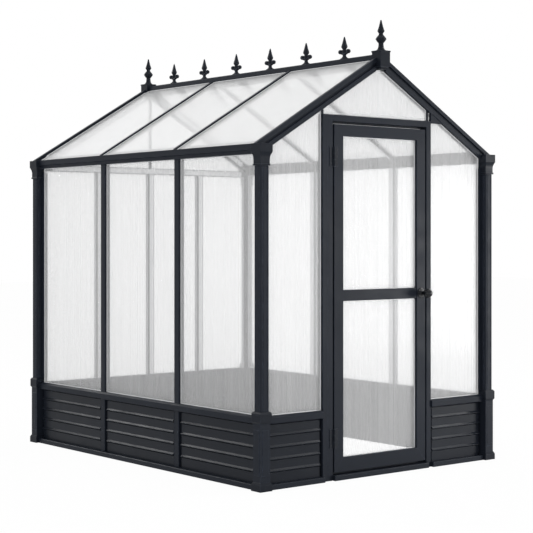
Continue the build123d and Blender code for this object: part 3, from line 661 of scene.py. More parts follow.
@dataclass
class Metalwork:
    """The coated members and castings, with their edges eased as drawn or cast pieces have them."""

    finishes: Finishes
    edge_radius: float = 0.0013
    small_edge_radius: float = 0.0006
    corner_flat: float = 0.0062
    shortest_corner: float = 0.2
    corner_play: float = 2e-4
    flat_angle: float = math.radians(0.4)
    edge_angle: float = math.radians(28)
    hinge_nodes: tuple[str, ...] = ("hinge_frame_leaves", "hinge_door_leaves")
    fine_nodes: tuple[str, ...] = (*hinge_nodes, "post_channels", "gable_bars", "door_frame")
    made_elsewhere: tuple[str, ...] = ("end_finials", "ridge_finials", "door_knob")
    board_count: int = 5
    ledge_reach: float = 0.008
    ledge_under: float = 0.001
    ledge_edge: float = 0.0024
    ledge_slope: float = 0.010
    board_depth: float = 0.018
    back_plate: float = 0.005
    groove_height: float = 0.0065
    groove_depth: float = 0.011
    end_gap: float = 0.016
    casing_side: float = 0.066
    cornered: dict[str, float] = field(default_factory=lambda: {"corner_posts": 0.060, "post_casings": 0.066})

    def board_section(self, foot: float, top: float) -> list[Point2]:
        """Give the boards' section: distance out from their faces, and height.

        Args:
            foot: Height of the lowest board's foot.
            top: Height of the highest board's top.

        Returns:
            The corners, in order.
        """
        pitch = (top - foot) / self.board_count
        points = [(-self.board_depth, top), (-self.board_depth, foot), (0.0, foot)]
        for board in range(1, self.board_count):
            nose = foot + board * pitch
            under, edge = nose - self.ledge_under, nose + self.ledge_edge
            points += [(0.0, nose - self.groove_height), (-self.groove_depth, nose - self.groove_height),
                       (-self.groove_depth, under), (self.ledge_reach, under), (self.ledge_reach, edge),
                       (0.0, edge + self.ledge_slope)]
        return points + [(0.0, top - self.groove_height), (-self.groove_depth, top - self.groove_height),
                         (-self.groove_depth, top)]

    def boards(self, node: str) -> bmesh.types.BMesh:
        """Build one side's stacked boards over their back plates, with a shadow groove under each nose.

        Args:
            node: The skirt panels' node.

        Returns:
            A bmesh that the caller frees.
        """
        source = merged_copy(node)
        solid = bmesh.new()
        run = 1 if node.startswith(("left", "right")) else 0
        hand = -1 if node.startswith(("left", "front")) else 1
        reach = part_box("post_casings")[1][run] - self.casing_side
        for island in islands_of(source):
            corners = [vert.co for face in island for vert in face.verts]
            ends = [pick(corner[run] for corner in corners) for pick in (min, max)]
            foot, top = (pick(corner.z for corner in corners) for pick in (min, max))
            face = max(corner[1 - run] * hand for corner in corners) - self.ledge_reach
            seen = [max(ends[0], -reach) + self.end_gap, min(ends[1], reach) - self.end_gap]
            plate = [(-self.board_depth - self.back_plate, top), (-self.board_depth - self.back_plate, foot),
                     (-self.board_depth, foot), (-self.board_depth, top)]
            for section, span in ((self.board_section(foot, top), seen), (plate, ends)):
                verts = []
                for along in span:
                    for out, height in section:
                        place = [0.0, 0.0, height]
                        place[run], place[1 - run] = along, (face + out) * hand
                        verts.append(solid.verts.new(place))
                for side in loft_faces(0, len(section), 2):
                    solid.faces.new([verts[corner] for corner in side])
        source.free()
        bmesh.ops.recalc_face_normals(solid, faces=solid.faces)
        return solid

    def chamfer_corners(self, solid: bmesh.types.BMesh, node: str) -> None:
        """Cut a narrow flat along each upright corner of the four posts or their casings.

        Args:
            solid: The posts or casings, with flat faces merged.
            node: The node that they were copied from.
        """
        low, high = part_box(node)
        side = self.cornered[node]
        lines = [(low[axis], low[axis] + side, high[axis] - side, high[axis]) for axis in (0, 1)]
        corners = []
        for edge in solid.edges:
            a, b = (vert.co for vert in edge.verts)
            near = all(min(abs(a[axis] - line) for line in lines[axis]) < self.corner_play for axis in (0, 1))
            if near and abs(a.z - b.z) >= self.shortest_corner:
                corners.append(edge)
        bmesh.ops.bevel(solid, geom=corners, offset=self.corner_flat, segments=1, profile=0.5, affect="EDGES")

    def ease(self, node: str) -> Piece:
        """Make a copy of one node with rounded edges.

        Args:
            node: The CAD node's name.

        Returns:
            The new piece.
        """
        if node.endswith("skirt_panels"):
            solid = self.boards(node)
        else:
            solid = merged_copy(node, leaf_bar_of if node == "door_frame" else None)
            bmesh.ops.dissolve_limit(solid, angle_limit=self.flat_angle, verts=solid.verts, edges=solid.edges,
                                     use_dissolve_boundaries=False)
        if node in self.cornered:
            self.chamfer_corners(solid, node)
        mesh = bpy.data.meshes.new(node + "_coated")
        solid.to_mesh(mesh)
        solid.free()
        piece = add_piece(node + "_coated", mesh)
        smooth(piece)
        bevel = piece.modifiers.new("eased_edges", "BEVEL")
        bevel.width = self.small_edge_radius if node in self.fine_nodes else self.edge_radius
        bevel.segments = 2
        bevel.limit_method = "ANGLE"
        bevel.angle_limit = self.edge_angle
        bevel.use_clamp_overlap = True
        bevel.harden_normals = True
        settle(piece)
        return piece

    def build(self) -> list[Piece]:
        """Replace every metal node by its eased piece.

        Returns:
            The pieces.
        """
        pieces = []
        for row in frame["record"]["subparts"]:
            node = row["node"]
            slot = row["material_slot"]
            if slot == "twin_wall" or node in self.made_elsewhere:
                continue
            piece = self.ease(node)
            finish = self.finishes.hinge if node in self.hinge_nodes else self.finishes.by_slot[slot]
            piece.data.materials.append(finish)
            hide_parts(node)
            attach(piece, body_of_node(node))
            pieces.append(piece)
        return pieces


class GeometryPlan(NodePlan):
    """A Geometry Nodes tree that works on one piece and ends in real geometry with a finish on it."""

    def __init__(self, name: str, inputs: dict[str, str]) -> None:
        """Start the tree with its named inputs.

        Args:
            name: The tree's name.
            inputs: The kind of each input between the geometry and the finish.
        """
        super().__init__(bpy.data.node_groups.new(name, "GeometryNodeTree"))
        for label, kind in (("Geometry", "Geometry"), *inputs.items(), ("Finish", "Material")):
            self.tree.interface.new_socket(label, in_out="INPUT", socket_type="NodeSocket" + kind)
        self.tree.interface.new_socket("Geometry", in_out="OUTPUT", socket_type="NodeSocketGeometry")
        self.given = self.add("NodeGroupInput").outputs

    def finish(self, geometry: Socket) -> None:
        """End the tree: make copies real and put the finish on.

        Args:
            geometry: The geometry to give out.
        """
        real = self.add("GeometryNodeRealizeInstances", {0: geometry}).outputs[0]
        dressed = self.add("GeometryNodeSetMaterial", {"Geometry": real, "Material": self.given["Finish"]})
        self.add("NodeGroupOutput", {0: dressed.outputs[0]})

    def run(self, piece: Piece, inputs: dict) -> None:
        """Run the tree on a piece and keep the result as its mesh.

        Args:
            piece: The piece.
            inputs: Values for the tree's inputs, by name.
        """
        modifier = piece.modifiers.new(self.tree.name, "NODES")
        modifier.node_group = self.tree
        sockets = {item.name: item.identifier for item in self.tree.interface.items_tree
                   if item.item_type == "SOCKET" and item.in_out == "INPUT"}
        for label, value in inputs.items():
            modifier[sockets[label]] = value
        settle(piece)


class FluteTree(GeometryPlan):
    """Geometry Nodes tree that presses flutes into both faces of a plate."""

    def __init__(self) -> None:
        """Build the tree, with inputs for the directions, the middle plane, the pitch and the depth."""
        super().__init__("pressed_flutes", {"Across": "Vector", "Normal": "Vector", "Middle": "Float",
                                            "Pitch": "Float", "Depth": "Float"})
        point = self.add("GeometryNodeInputPosition").outputs[0]
        across = self.dot(point, self.given["Across"])
        out = self.dot(point, self.given["Normal"])
        side = self.math("SIGN", self.math("SUBTRACT", out, self.given["Middle"]))
        phase = self.math("MULTIPLY", self.math("DIVIDE", across, self.given["Pitch"]), 2 * math.pi)
        rise = self.math("MULTIPLY", self.math("SINE", phase), self.given["Depth"])
        shift = self.scaled(self.given["Normal"], self.math("MULTIPLY", rise, side))
        moved = self.add("GeometryNodeSetPosition", {"Geometry": self.given["Geometry"], "Offset": shift})
        self.finish(moved.outputs[0])


class ScatterTree(GeometryPlan):
    """Geometry Nodes tree that sets one piece at each point of a layout, turned to the point's heading."""

    def __init__(self) -> None:
        """Build the tree, with inputs for the piece and its scale."""
        super().__init__("piece_at_each_place", {"Piece": "Object", "Scale": "Float"})
        fetch = self.add("GeometryNodeObjectInfo", {"Object": self.given["Piece"]})
        heading = self.add("GeometryNodeInputNamedAttribute", {"Name": "facing"}, data_type="FLOAT_VECTOR")
        heading = heading.outputs["Attribute"]
        align = self.add("FunctionNodeAlignRotationToVector", {"Vector": heading}, axis="Z")
        spread = self.add("GeometryNodeInstanceOnPoints", {
            "Points": self.given["Geometry"], "Instance": fetch.outputs["Geometry"],
            "Rotation": align.outputs[0], "Scale": self.given["Scale"]})
        self.finish(spread.outputs[0])

    def scatter(self, name: str, pattern: Piece, places: Sequence[Vector], facing: Vector,
                finish: bpy.types.Material) -> Piece:
        """Set a copy of a pattern at each place and turn the result into one mesh.

        Args:
            name: Name of the new piece.
            pattern: The object to copy, made about the origin with +Z as its own axis.
            places: Where the copies go.
            facing: Direction that +Z turns to.
            finish: The copies' material.

        Returns:
            The new piece.
        """
        mesh = bpy.data.meshes.new(name)
        mesh.from_pydata([tuple(place) for place in places], [], [])
        heading = mesh.attributes.new("facing", "FLOAT_VECTOR", "POINT")
        for row in heading.data:
            row.vector = facing
        piece = add_piece(name, mesh)
        self.run(piece, {"Piece": pattern, "Scale": 1.0, "Finish": finish})
        smooth(piece, sharp_over=38)
        return piece


@dataclass(frozen=True)
class Plate:
    """One sheet: its outline across and along the flutes, and the planes of its two faces."""

    outline: tuple[Point2, ...]
    low: float
    high: float

    def reach(self, across: float) -> Point2:
        """Give the lowest and highest point of the outline at one distance across.

        Args:
            across: Distance across the flutes.

        Returns:
            The lowest and the highest distance along the flutes.
        """
        hits = []
        least = 1e-9
        for (u0, v0), (u1, v1) in zip(self.outline, self.outline[1:] + self.outline[:1]):
            if min(u0, u1) - least <= across <= max(u0, u1) + least:
                if abs(u1 - u0) < least:
                    hits += [v0, v1]
                else:
                    hits.append(v0 + (v1 - v0) * (across - u0) / (u1 - u0))
        return min(hits), max(hits)

    def opened(self, shift: float) -> "Plate":
        """Give the plate with its gable end and its eave end moved outward, where no slot covers them.

        Args:
            shift: How far they move.

        Returns:
            The changed plate.
        """
        gable_past, eave_within = 1.1, 0.05
        foot = min(v for _, v in self.outline) + eave_within
        moved = tuple((u + math.copysign(shift, u) if abs(u) > gable_past else u,
                       v - shift if v < foot else v) for u, v in self.outline)
        return Plate(moved, self.low, self.high)

    def inset(self, distance: float) -> list[Point2]:
        """Give the outline moved inward on every side, with its corners kept sharp.

        Args:
            distance: How far each side moves.

        Returns:
            The corners of the smaller outline.
        """
        points = self.outline
        area = sum(a[0] * b[1] - b[0] * a[1] for a, b in zip(points, points[1:] + points[:1]))
        turn = 1 if area > 0 else -1
        sharpest = 0.3
        moved = []
        for before, here, after in zip(points[-1:] + points[:-1], points, points[1:] + points[:1]):
            one = Vector((here[0] - before[0], here[1] - before[1])).normalized()
            two = Vector((after[0] - here[0], after[1] - here[1])).normalized()
            inward_one = Vector((-one.y, one.x)) * turn
            inward_two = Vector((-two.y, two.x)) * turn
            middle = (inward_one + inward_two).normalized()
            step = distance / max(sharpest, middle.dot(inward_one))
            moved.append((here[0] + middle.x * step, here[1] + middle.y * step))
        return moved


def plates_of(node: str, axes: SheetAxes) -> list[Plate]:
    """Read the sheets of one CAD node.

    Args:
        node: The node's name.
        axes: The directions of its sheets.

    Returns:
        One plate for each separate sheet.
    """
    facing_out, least_bend = 0.99, 1e-8
    solid = merged_copy(node)
    plates = []
    for island in islands_of(solid):
        corners = {vert for face in island for vert in face.verts}
        outs = [vert.co.dot(axes.normal) for vert in corners]
        front = [face for face in island if face.normal.dot(axes.normal) > facing_out]
        rim = [edge for face in front for edge in face.edges
               if sum(other in front for other in edge.link_faces) == 1]
        follow = {}
        for edge in dict.fromkeys(rim):
            for vert in edge.verts:
                follow.setdefault(vert, []).append(edge.other_vert(vert))
        start = next(iter(follow))
        loop, previous, here = [start], None, start
        while True:
            ahead = follow[here][0] if follow[here][0] is not previous else follow[here][1]
            if ahead is start:
                break
            loop.append(ahead)
            previous, here = here, ahead
        flat = [(vert.co.dot(axes.across), vert.co.dot(axes.along)) for vert in loop]
        outline = []
        for before, point, after in zip(flat[-1:] + flat[:-1], flat, flat[1:] + flat[:1]):
            bend = ((point[0] - before[0]) * (after[1] - point[1])
                    - (point[1] - before[1]) * (after[0] - point[0]))
            if abs(bend) > least_bend:
                outline.append(point)
        plates.append(Plate(tuple(outline), min(outs), max(outs)))
    solid.free()
    return plates


@dataclass
class Glazing:
    """The fluted twin-wall sheets and the pale strips that hold them in the frame."""

    finishes: Finishes
    flute_pitch: float = 0.008
    flute_depth: float = 0.00011
    steps_per_flute: int = 6
    corner_column: float = 5e-5
    strip_inset: float = 0.0066
    strip_width: float = 0.0036
    strip_height: float = 0.0016
    strip_bite: float = 0.0004
    lip_share: float = 0.55
    roof_edge: float = 0.0006
    surfaces: tuple[tuple[str, Surface], ...] = (
        ("left_wall_sheets", Surface.SIDE), ("right_wall_sheets", Surface.SIDE),
        ("back_wall_sheets", Surface.GABLE), ("front_left_sheet", Surface.GABLE),
        ("front_right_sheet", Surface.GABLE), ("front_gable_sheet", Surface.GABLE),
        ("back_gable_sheets", Surface.GABLE), ("door_sheets", Surface.GABLE),
        ("left_roof_sheets", Surface.ROOF_LEFT), ("right_roof_sheets", Surface.ROOF_RIGHT))

    def plain_sheet(self, plate: Plate, axes: SheetAxes) -> Shape:
        """Make a closed plate cut into narrow columns, ready for the flutes.

        Args:
            plate: The sheet.
            axes: Its directions.

        Returns:
            The corners and faces.
        """
        breaks = [u for u, _ in plate.outline]
        first, last = min(breaks), max(breaks)
        step = self.flute_pitch / self.steps_per_flute
        count = math.ceil((last - first) / step)
        columns = {round(first + (last - first) * index / count, 6) for index in range(count + 1)}
        for u in breaks:
            if first + step < u < last - step:
                columns |= {round(u - self.corner_column, 6), round(u + self.corner_column, 6)}
        verts = []
        for u in sorted(columns):
            low, high = plate.reach(min(max(u, first), last))
            for along, out in ((low, plate.low), (high, plate.low), (high, plate.high), (low, plate.high)):
                verts.append(axes.place(u, along, out))
        return verts, loft_faces(0, 4, len(columns))

    def strip_ring(self, plate: Plate, axes: SheetAxes, hand: int) -> Shape:
        """Make the strip round one face of a sheet as a closed mitred ring.

        Args:
            plate: The sheet, or the opening that its strip follows.
            axes: Its directions.
            hand: 1 for the outer face, -1 for the inner one.

        Returns:
            The corners and faces.
        """
        face = plate.high if hand > 0 else plate.low
        root, top = face - hand * self.strip_bite, face + hand * self.strip_height
        outer, lip, inner = (plate.inset(self.strip_inset + self.strip_width * share)
                             for share in (0.0, self.lip_share, 1.0))
        verts, faces = [], []
        for ring, out in ((outer, root), (outer, top), (lip, top), (inner, root)):
            verts += [axes.place(u, v, out) for u, v in ring]
        count = len(outer)
        for index in range(count):
            nearby = (index + 1) % count
            for layer in range(4):
                here, above = layer * count, (layer + 1) % 4 * count
                faces.append((here + index, here + nearby, above + nearby, above + index))
        return verts, faces

    def build(self) -> list[Piece]:
        """Build each node's sheets and strips and hang them on their bodies.

        Returns:
            The pieces.
        """
        flutes = FluteTree()
        pieces = []
        for node, surface in self.surfaces:
            axes = SheetAxes.of(surface)
            plates = plates_of(node, axes)
            shapes = [self.plain_sheet(plate, axes) for plate in plates]
            sheets = piece_of(node + "_fluted", shapes, weld=False)
            flutes.run(sheets, {"Across": axes.across, "Normal": axes.normal,
                                "Middle": (plates[0].low + plates[0].high) / 2, "Pitch": self.flute_pitch,
                                "Depth": self.flute_depth, "Finish": self.finishes.sheets[surface]})
            smooth(sheets, sharp_over=35)
            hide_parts(node)
            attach(sheets, body_of_node(node))
            hands = (-1, 1)
            if surface in (Surface.ROOF_LEFT, Surface.ROOF_RIGHT):
                plates = [plate.opened(self.strip_inset - self.roof_edge) for plate in plates]
                hands = (1,)
            rings = [self.strip_ring(plate, axes, hand) for plate in plates for hand in hands]
            strips = piece_of(node + "_strips", rings, weld=False)
            strips.data.materials.append(self.finishes.strip)
            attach(strips, body_of_node(node))
            pieces += [sheets, strips]
        return pieces


@dataclass
class Cresting:
    """The turned end finials and the cast spears with scrolls along the ridge."""

    finishes: Finishes
    scatter_tree: ScatterTree
    finial_profile: tuple[Point2, ...] = (
        (0.0, 0.0), (0.026, 0.0), (0.026, 0.0), (0.0262, 0.005), (0.0262, 0.005), (0.0215, 0.009),
        (0.0168, 0.020), (0.0152, 0.033), (0.0146, 0.043), (0.0190, 0.049), (0.0262, 0.058),
        (0.0292, 0.0640), (0.0292, 0.0640), (0.0312, 0.0655), (0.0312, 0.0710), (0.0292, 0.0722),
        (0.0292, 0.0722), (0.0258, 0.0790), (0.0170, 0.0890), (0.0121, 0.0970), (0.0150, 0.1045),
        (0.0205, 0.1130), (0.0205, 0.1170), (0.0178, 0.1240), (0.0136, 0.1370), (0.0104, 0.1490),
        (0.0074, 0.1610), (0.0052, 0.1710), (0.0036, 0.1772), (0.0012, 0.1788))
    finial_inset: float = 0.0305
    finial_sides: int = 36
    spear_profile: tuple[Point2, ...] = (
        (0.0110, 0.018), (0.0104, 0.030), (0.0124, 0.040), (0.0140, 0.047), (0.0142, 0.053), (0.0112, 0.057),
        (0.0114, 0.060), (0.0166, 0.068), (0.0182, 0.074), (0.0164, 0.083), (0.0122, 0.096),
        (0.0092, 0.109), (0.0062, 0.121), (0.0040, 0.129), (0.0012, 0.134))
    spear_sides: int = 28
    spear_squareness: float = 3.4
    spear_flatten: float = 0.82
    foot_profile: tuple[Point2, ...] = (
        (0.0350, 0.0), (0.0350, 0.0), (0.0350, 0.0035), (0.0350, 0.0035), (0.0270, 0.0060), (0.0190, 0.0110),
        (0.0128, 0.0180), (0.0100, 0.0270))
    foot_sides: int = 32
    foot_squareness: float = 3.0
    foot_flatten: float = 0.42
    scroll_radius: float = 0.0132
    scroll_offset: float = 0.0345
    scroll_level: float = 0.0450
    scroll_half_thickness: float = 0.0110
    scroll_sides: int = 20
    arm_path: tuple[Point2, ...] = ((0.000, 0.030), (0.010, 0.0325), (0.019, 0.0350), (0.0265, 0.0400),
                                    (0.0285, 0.0480), (0.0330, 0.0530))
    arm_radius: float = 0.0078
    arm_widening: float = 1.2
    arm_sides: int = 10
    fleur_count: int = 6
    fleur_inset: float = 0.05

    def finials(self) -> Piece:
        """Turn the two end finials.

        Returns:
            Both as one piece.
        """
        low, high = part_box("end_finials")
        profile = flowing(self.finial_profile)
        shapes = [turned(profile, self.finial_sides, Vector((0, y, low[2])), UP, RIGHT)
                  for y in (low[1] + self.finial_inset, high[1] - self.finial_inset)]
        piece = piece_of("turned_end_finials", shapes)
        smooth(piece, sharp_over=34)
        return piece

    def scroll(self, hand: int) -> Shape:
        """Make one scroll: an arm that leaves the stem and rolls up into a round eye.

        Args:
            hand: -1 or 1, the side that it is on.

        Returns:
            The corners and faces.
        """
        middle = Vector((0, hand * self.scroll_offset, self.scroll_level))
        face = self.scroll_half_thickness
        half = [(0.0004, face + 0.0016), (0.0046, face + 0.0012), (0.0060, face - 0.0012),
                (0.0088, face - 0.0006), (0.0118, face * 0.70)]
        eye = [(radius, -height) for radius, height in half] + [(self.scroll_radius, 0.0)] + half[::-1]
        verts, faces = turned(flowing(eye, 2), self.scroll_sides, middle, RIGHT, Vector((0, 1, 0)))
        first = len(verts)
        path = flowing(self.arm_path)
        for (out, height), (next_out, next_height) in zip(path, path[1:]):
            step = Vector((0, next_out - out, next_height - height)).normalized()
            for turn in range(self.arm_sides):
                angle = 2 * math.pi * turn / self.arm_sides
                wide = self.arm_radius * self.arm_widening * math.cos(angle)
                thick = Vector((0, -step.z, step.y)) * (self.arm_radius * math.sin(angle))
                verts.append(Vector((wide, hand * (out + thick.y), height + thick.z)))
        return verts, faces + loft_faces(first, self.arm_sides, len(path) - 1)

    def fleur(self) -> Piece:
        """Make one spear with its foot and two scrolls, about the origin.

        Returns:
            The pattern for the row of them.
        """
        spear = turned(flowing(self.spear_profile), self.spear_sides, Vector(), UP, RIGHT,
                       self.spear_squareness, self.spear_flatten)
        foot = turned(flowing(self.foot_profile), self.foot_sides, Vector(), UP, RIGHT,
                      self.foot_squareness, self.foot_flatten)
        return piece_of("fleur_pattern", [spear, foot, self.scroll(-1), self.scroll(1)])

    def build(self) -> list[Piece]:
        """Set the cresting on the ridge.

        Returns:
            The pieces.
        """
        finials = self.finials()
        low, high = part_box("ridge_finials")
        first, last = low[1] + self.fleur_inset, high[1] - self.fleur_inset
        places = [Vector((0, first + (last - first) * index / (self.fleur_count - 1), low[2]))
                  for index in range(self.fleur_count)]
        finish = self.finishes.by_slot["castings"]
        pattern = self.fleur()
        fleurs = self.scatter_tree.scatter("cast_ridge_finials", pattern, places, UP, finish)
        bpy.data.objects.remove(pattern)
        for piece, node in ((finials, "end_finials"), (fleurs, "ridge_finials")):
            piece.data.materials.clear()
            piece.data.materials.append(finish)
            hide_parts(node)
            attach(piece, "house")
        return [finials, fleurs]


@dataclass
class DoorFittings:
    """The turned knob, the screws of knob and hinges, and a pale strip over the leaf that paints a highlight
    along its top.
    """

    finishes: Finishes
    scatter_tree: ScatterTree
    knob_profile: tuple[Point2, ...] = (
        (0.0, 0.0), (0.0300, 0.0), (0.0300, 0.0), (0.0300, 0.0028), (0.0288, 0.0046), (0.0262, 0.0056),
        (0.0240, 0.0056), (0.0232, 0.0070), (0.0200, 0.0078), (0.0150, 0.0086), (0.0118, 0.0130),
        (0.0108, 0.0200), (0.0116, 0.0270), (0.0150, 0.0310), (0.0150, 0.0310), (0.0158, 0.0335),
        (0.0215, 0.0390), (0.0258, 0.0470), (0.0272, 0.0560), (0.0258, 0.0650), (0.0214, 0.0740),
        (0.0150, 0.0800), (0.0075, 0.0832), (0.0008, 0.0840))
    knob_sides: int = 48
    screw_radius: float = 0.0038
    screw_top: float = 0.0013
    recess_floor: float = 0.0002
    screw_sides: int = 16
    hinge_face: float = -1.193
    hinge_half: float = 0.055
    hinge_edge: float = 0.0095
    screw_step: float = 0.038
    rose_reach: float = 0.0206
    rose_face: float = 0.0074
    # Where the pale strip over the leaf sits: a painted highlight along the leaf's top.
    highlight_strip_behind_leaf: Point2 = (0.0012, 0.0052)
    highlight_strip_over_leaf: Point2 = (0.0020, 0.0062)
    highlight_strip_end: float = 0.012
    highlight_strip_corner: float = 0.001

    def knob(self) -> Piece:
        """Turn the knob with its rose and neck.

        Returns:
            The new piece.
        """
        low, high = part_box("door_knob")
        root = Vector(((low[0] + high[0]) / 2, high[1], (low[2] + high[2]) / 2))
        shape = turned(flowing(self.knob_profile), self.knob_sides, root, FRONT, RIGHT)
        knob = piece_of("turned_knob", [shape])
        smooth(knob, sharp_over=32)
        return knob

    def screw(self) -> Piece:
        """Make one screw head with a cross recess, about the origin.

        Returns:
            The pattern for all the screws.
        """
        radius, top, sides = self.screw_radius, self.screw_top, self.screw_sides
        profile = ((radius, -0.0004), (radius, 0.0004), (radius * 0.86, 0.0010), (radius * 0.55, top))
        verts, _ = turned(profile, sides, Vector(), UP, RIGHT)
        for height, arm, waist in ((top, 0.42, 0.14), (self.recess_floor, 0.30, 0.10)):
            for step in range(sides):
                turn = 2 * math.pi * (step + 0.5) / sides
                reach = radius * (arm if step % 4 in (0, 3) else waist)
                verts.append(Vector((reach * math.cos(turn), reach * math.sin(turn), height)))
        return piece_of("screw_pattern", [(verts, loft_faces(0, sides, len(profile) + 2))])

    def screws(self) -> list[Piece]:
        """Drive the screws into the hinge plates and the rose.

        Returns:
            One piece for each body and place.
        """
        pattern = self.screw()
        low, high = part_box("hinge_frame_leaves")
        door_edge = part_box("hinge_door_leaves")[1][0]
        heights = [middle + offset for middle in (low[2] + self.hinge_half, high[2] - self.hinge_half)
                   for offset in (-self.screw_step, 0.0, self.screw_step)]
        frame_x, door_x = low[0] + self.hinge_edge, door_edge - self.hinge_edge
        knob_low, knob_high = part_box("door_knob")
        knob_x, knob_z = ((knob_low[axis] + knob_high[axis]) / 2 for axis in (0, 2))
        rose = [Vector((knob_x + hand * self.rose_reach, knob_high[1] - self.rose_face, knob_z))
                for hand in (-1, 1)]
        pieces = []
        for name, body, places in (
                ("frame_hinge_screws", "house", [Vector((frame_x, self.hinge_face, z)) for z in heights]),
                ("leaf_hinge_screws", "door", [Vector((door_x, self.hinge_face, z)) for z in heights]),
                ("rose_screws", "door", rose)):
            piece = self.scatter_tree.scatter(name, pattern, places, FRONT, self.finishes.screw)
            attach(piece, body)
            pieces.append(piece)
        bpy.data.objects.remove(pattern)
        return pieces

    def head_seal(self) -> Piece:
        """Run a pale strip along the front of the head's stop, seen through the gap over the leaf: a painted
        highlight along the leaf's top, shaped as a brush strip.

        Returns:
            The new piece.
        """
        leaf_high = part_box("door_frame")[1]
        front, back = (leaf_high[1] + behind for behind in self.highlight_strip_behind_leaf)
        low, high = (leaf_high[2] + over for over in self.highlight_strip_over_leaf)
        reach = leaf_high[0] - self.highlight_strip_end
        corner = self.highlight_strip_corner
        section = ((back, low), (front + corner, low), (front, low + corner), (front, high - corner),
                   (front + corner, high), (back, high))
        verts = [Vector((x, y, z)) for x in (-reach, reach) for y, z in section]
        return piece_of("head_seal", [(verts, loft_faces(0, len(section), 2))])

    def build(self) -> list[Piece]:
        """Fit the knob, the screws and the pale strip that paints the highlight over the leaf.

        Returns:
            The pieces.
        """
        knob = self.knob()
        knob.data.materials.append(self.finishes.by_slot["hardware"])
        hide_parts("door_knob")
        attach(knob, "door")
        screws = self.screws()
        highlight_strip = self.head_seal()
        # Painted highlight: a pale strip in the gap over the leaf.
        highlight_strip.data.materials.append(self.finishes.painted_light)
        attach(highlight_strip, "house")
        return [knob, *screws, highlight_strip]


@dataclass
class PaintedLightStrips:
    """Pale strips along the inner faces of the slotted bars, the tie rail and the rafters, where the sheets'
    edges are held: painted light that makes these inner faces paler where they show through the sheets.
    """

    finishes: Finishes
    width: float = 0.034
    roof_width: float = 0.020
    height: float = 0.0022
    section: tuple[Point2, ...] = ((-0.5, 0.0), (-0.5, 0.35), (-0.46, 0.7), (-0.3, 0.92), (0.0, 1.0),
                                   (0.3, 0.92), (0.46, 0.7), (0.5, 0.35), (0.5, 0.0))
    off: float = 0.0002
    end_gap: float = 0.002
    bar_half: float = 0.0215
    bar_depth: float = 0.0402
    tie_end: float = 0.04
    roof_bar_half: float = 0.012
    roof_bar_depth: float = 0.034
    roof_bar_head: float = 0.022
    roof_bar_ends: Point2 = (0.030, 0.835)
    rafter_head: float = 0.0375
    rafter_middle: float = 0.046
    rafter_ends: Point2 = (0.060, 0.800)

    def strip(self, start: Vector, end: Vector, proud: Vector, width: float) -> Shape:
        """Make one strip with a low crown and rolled edges.

        Args:
            start: Middle of its back at one end.
            end: Middle of its back at the other end.
            proud: Direction that it stands out in.
            width: Its width.

        Returns:
            The corners and faces.
        """
        wide = (end - start).normalized().cross(proud)
        verts = [place + wide * (share * width) + proud * (rise * self.height)
                 for place in (start, end) for share, rise in self.section]
        return verts, loft_faces(0, len(self.section), 2)

    def wall_strips(self) -> list[Shape]:
        """Make the strips on the mullions and the tie rail.

        Returns:
            The corners and faces of each.
        """
        shapes = []
        low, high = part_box("side_mullions")
        for side in (-1, 1):
            for y in (low[1] + self.bar_half, high[1] - self.bar_half):
                foot, head = (Vector((side * (high[0] - self.bar_depth), y, z))
                              for z in (low[2] + self.end_gap, high[2] - self.end_gap))
                shapes.append(self.strip(foot, head, Vector((-side, 0, 0)), self.width))
        low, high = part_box("back_mullions")
        for x in (low[0] + self.bar_half, 0.0, high[0] - self.bar_half):
            foot, head = (Vector((x, low[1] - self.off, z))
                          for z in (low[2] + self.end_gap, high[2] - self.end_gap))
            shapes.append(self.strip(foot, head, FRONT, self.width))
        low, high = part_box("back_tie_rail")
        left, right = (Vector((x, low[1] - self.off, (low[2] + high[2]) / 2))
                       for x in (low[0] + self.tie_end, high[0] - self.tie_end))
        return shapes + [self.strip(left, right, FRONT, self.width)]

    def roof_strips(self) -> list[Shape]:
        """Make the strips under the roof bars and inside the rafters.

        Returns:
            The corners and faces of each.
        """
        shapes = []
        slope, upright = math.tan(ROOF_PITCH), math.cos(ROOF_PITCH)
        low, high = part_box("roof_bars")
        under = self.roof_bar_depth / upright + self.off
        for side in (-1, 1):
            proud = Vector((-side * math.sin(ROOF_PITCH), 0, -upright))
            for y in (low[1] + self.roof_bar_half, high[1] - self.roof_bar_half):
                head, foot = (Vector((side * out, y, high[2] - (out - self.roof_bar_head) * slope - under))
                              for out in self.roof_bar_ends)
                shapes.append(self.strip(head, foot, proud, self.roof_width))
        for gable, node in ((-1, "front_rafters"), (1, "back_rafters")):
            low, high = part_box(node)
            inner = (high[1] if gable < 0 else low[1]) - gable * self.off
            under = self.rafter_middle / upright
            for side in (-1, 1):
                head, foot = (Vector((side * out, inner, high[2] - (out - self.rafter_head) * slope - under))
                              for out in self.rafter_ends)
                shapes.append(self.strip(head, foot, Vector((0, -gable, 0)), self.width))
        return shapes

    def build(self) -> list[Piece]:
        """Press on all the strips as one piece.

        Returns:
            The piece, in a list.
        """
        piece = piece_of("inner_cover_strips", self.wall_strips() + self.roof_strips())
        smooth(piece, sharp_over=50)
        # Painted light: a pale colour on the inner faces of the bars, so that the bars seen through the
        # sheets look paler.
        piece.data.materials.append(self.finishes.painted_light)
        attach(piece, "house")
        return [piece]


@dataclass(frozen=True)
class Lamp:
    """One square soft lamp: where it hangs, the point it faces, its side and its power in watts."""

    name: str
    place: tuple[float, float, float]
    aim: tuple[float, float, float]
    size: float
    power: float

    def hang(self) -> None:
        """Hang the lamp in the scene."""
        data = bpy.data.lights.new(self.name, "AREA")
        data.size = self.size
        data.energy = self.power
        lamp = bpy.data.objects.new(self.name, data)
        lamp.location = self.place
        lamp.rotation_euler = (Vector(self.aim) - Vector(self.place)).to_track_quat("-Z", "Y").to_euler()
        bpy.context.scene.collection.objects.link(lamp)


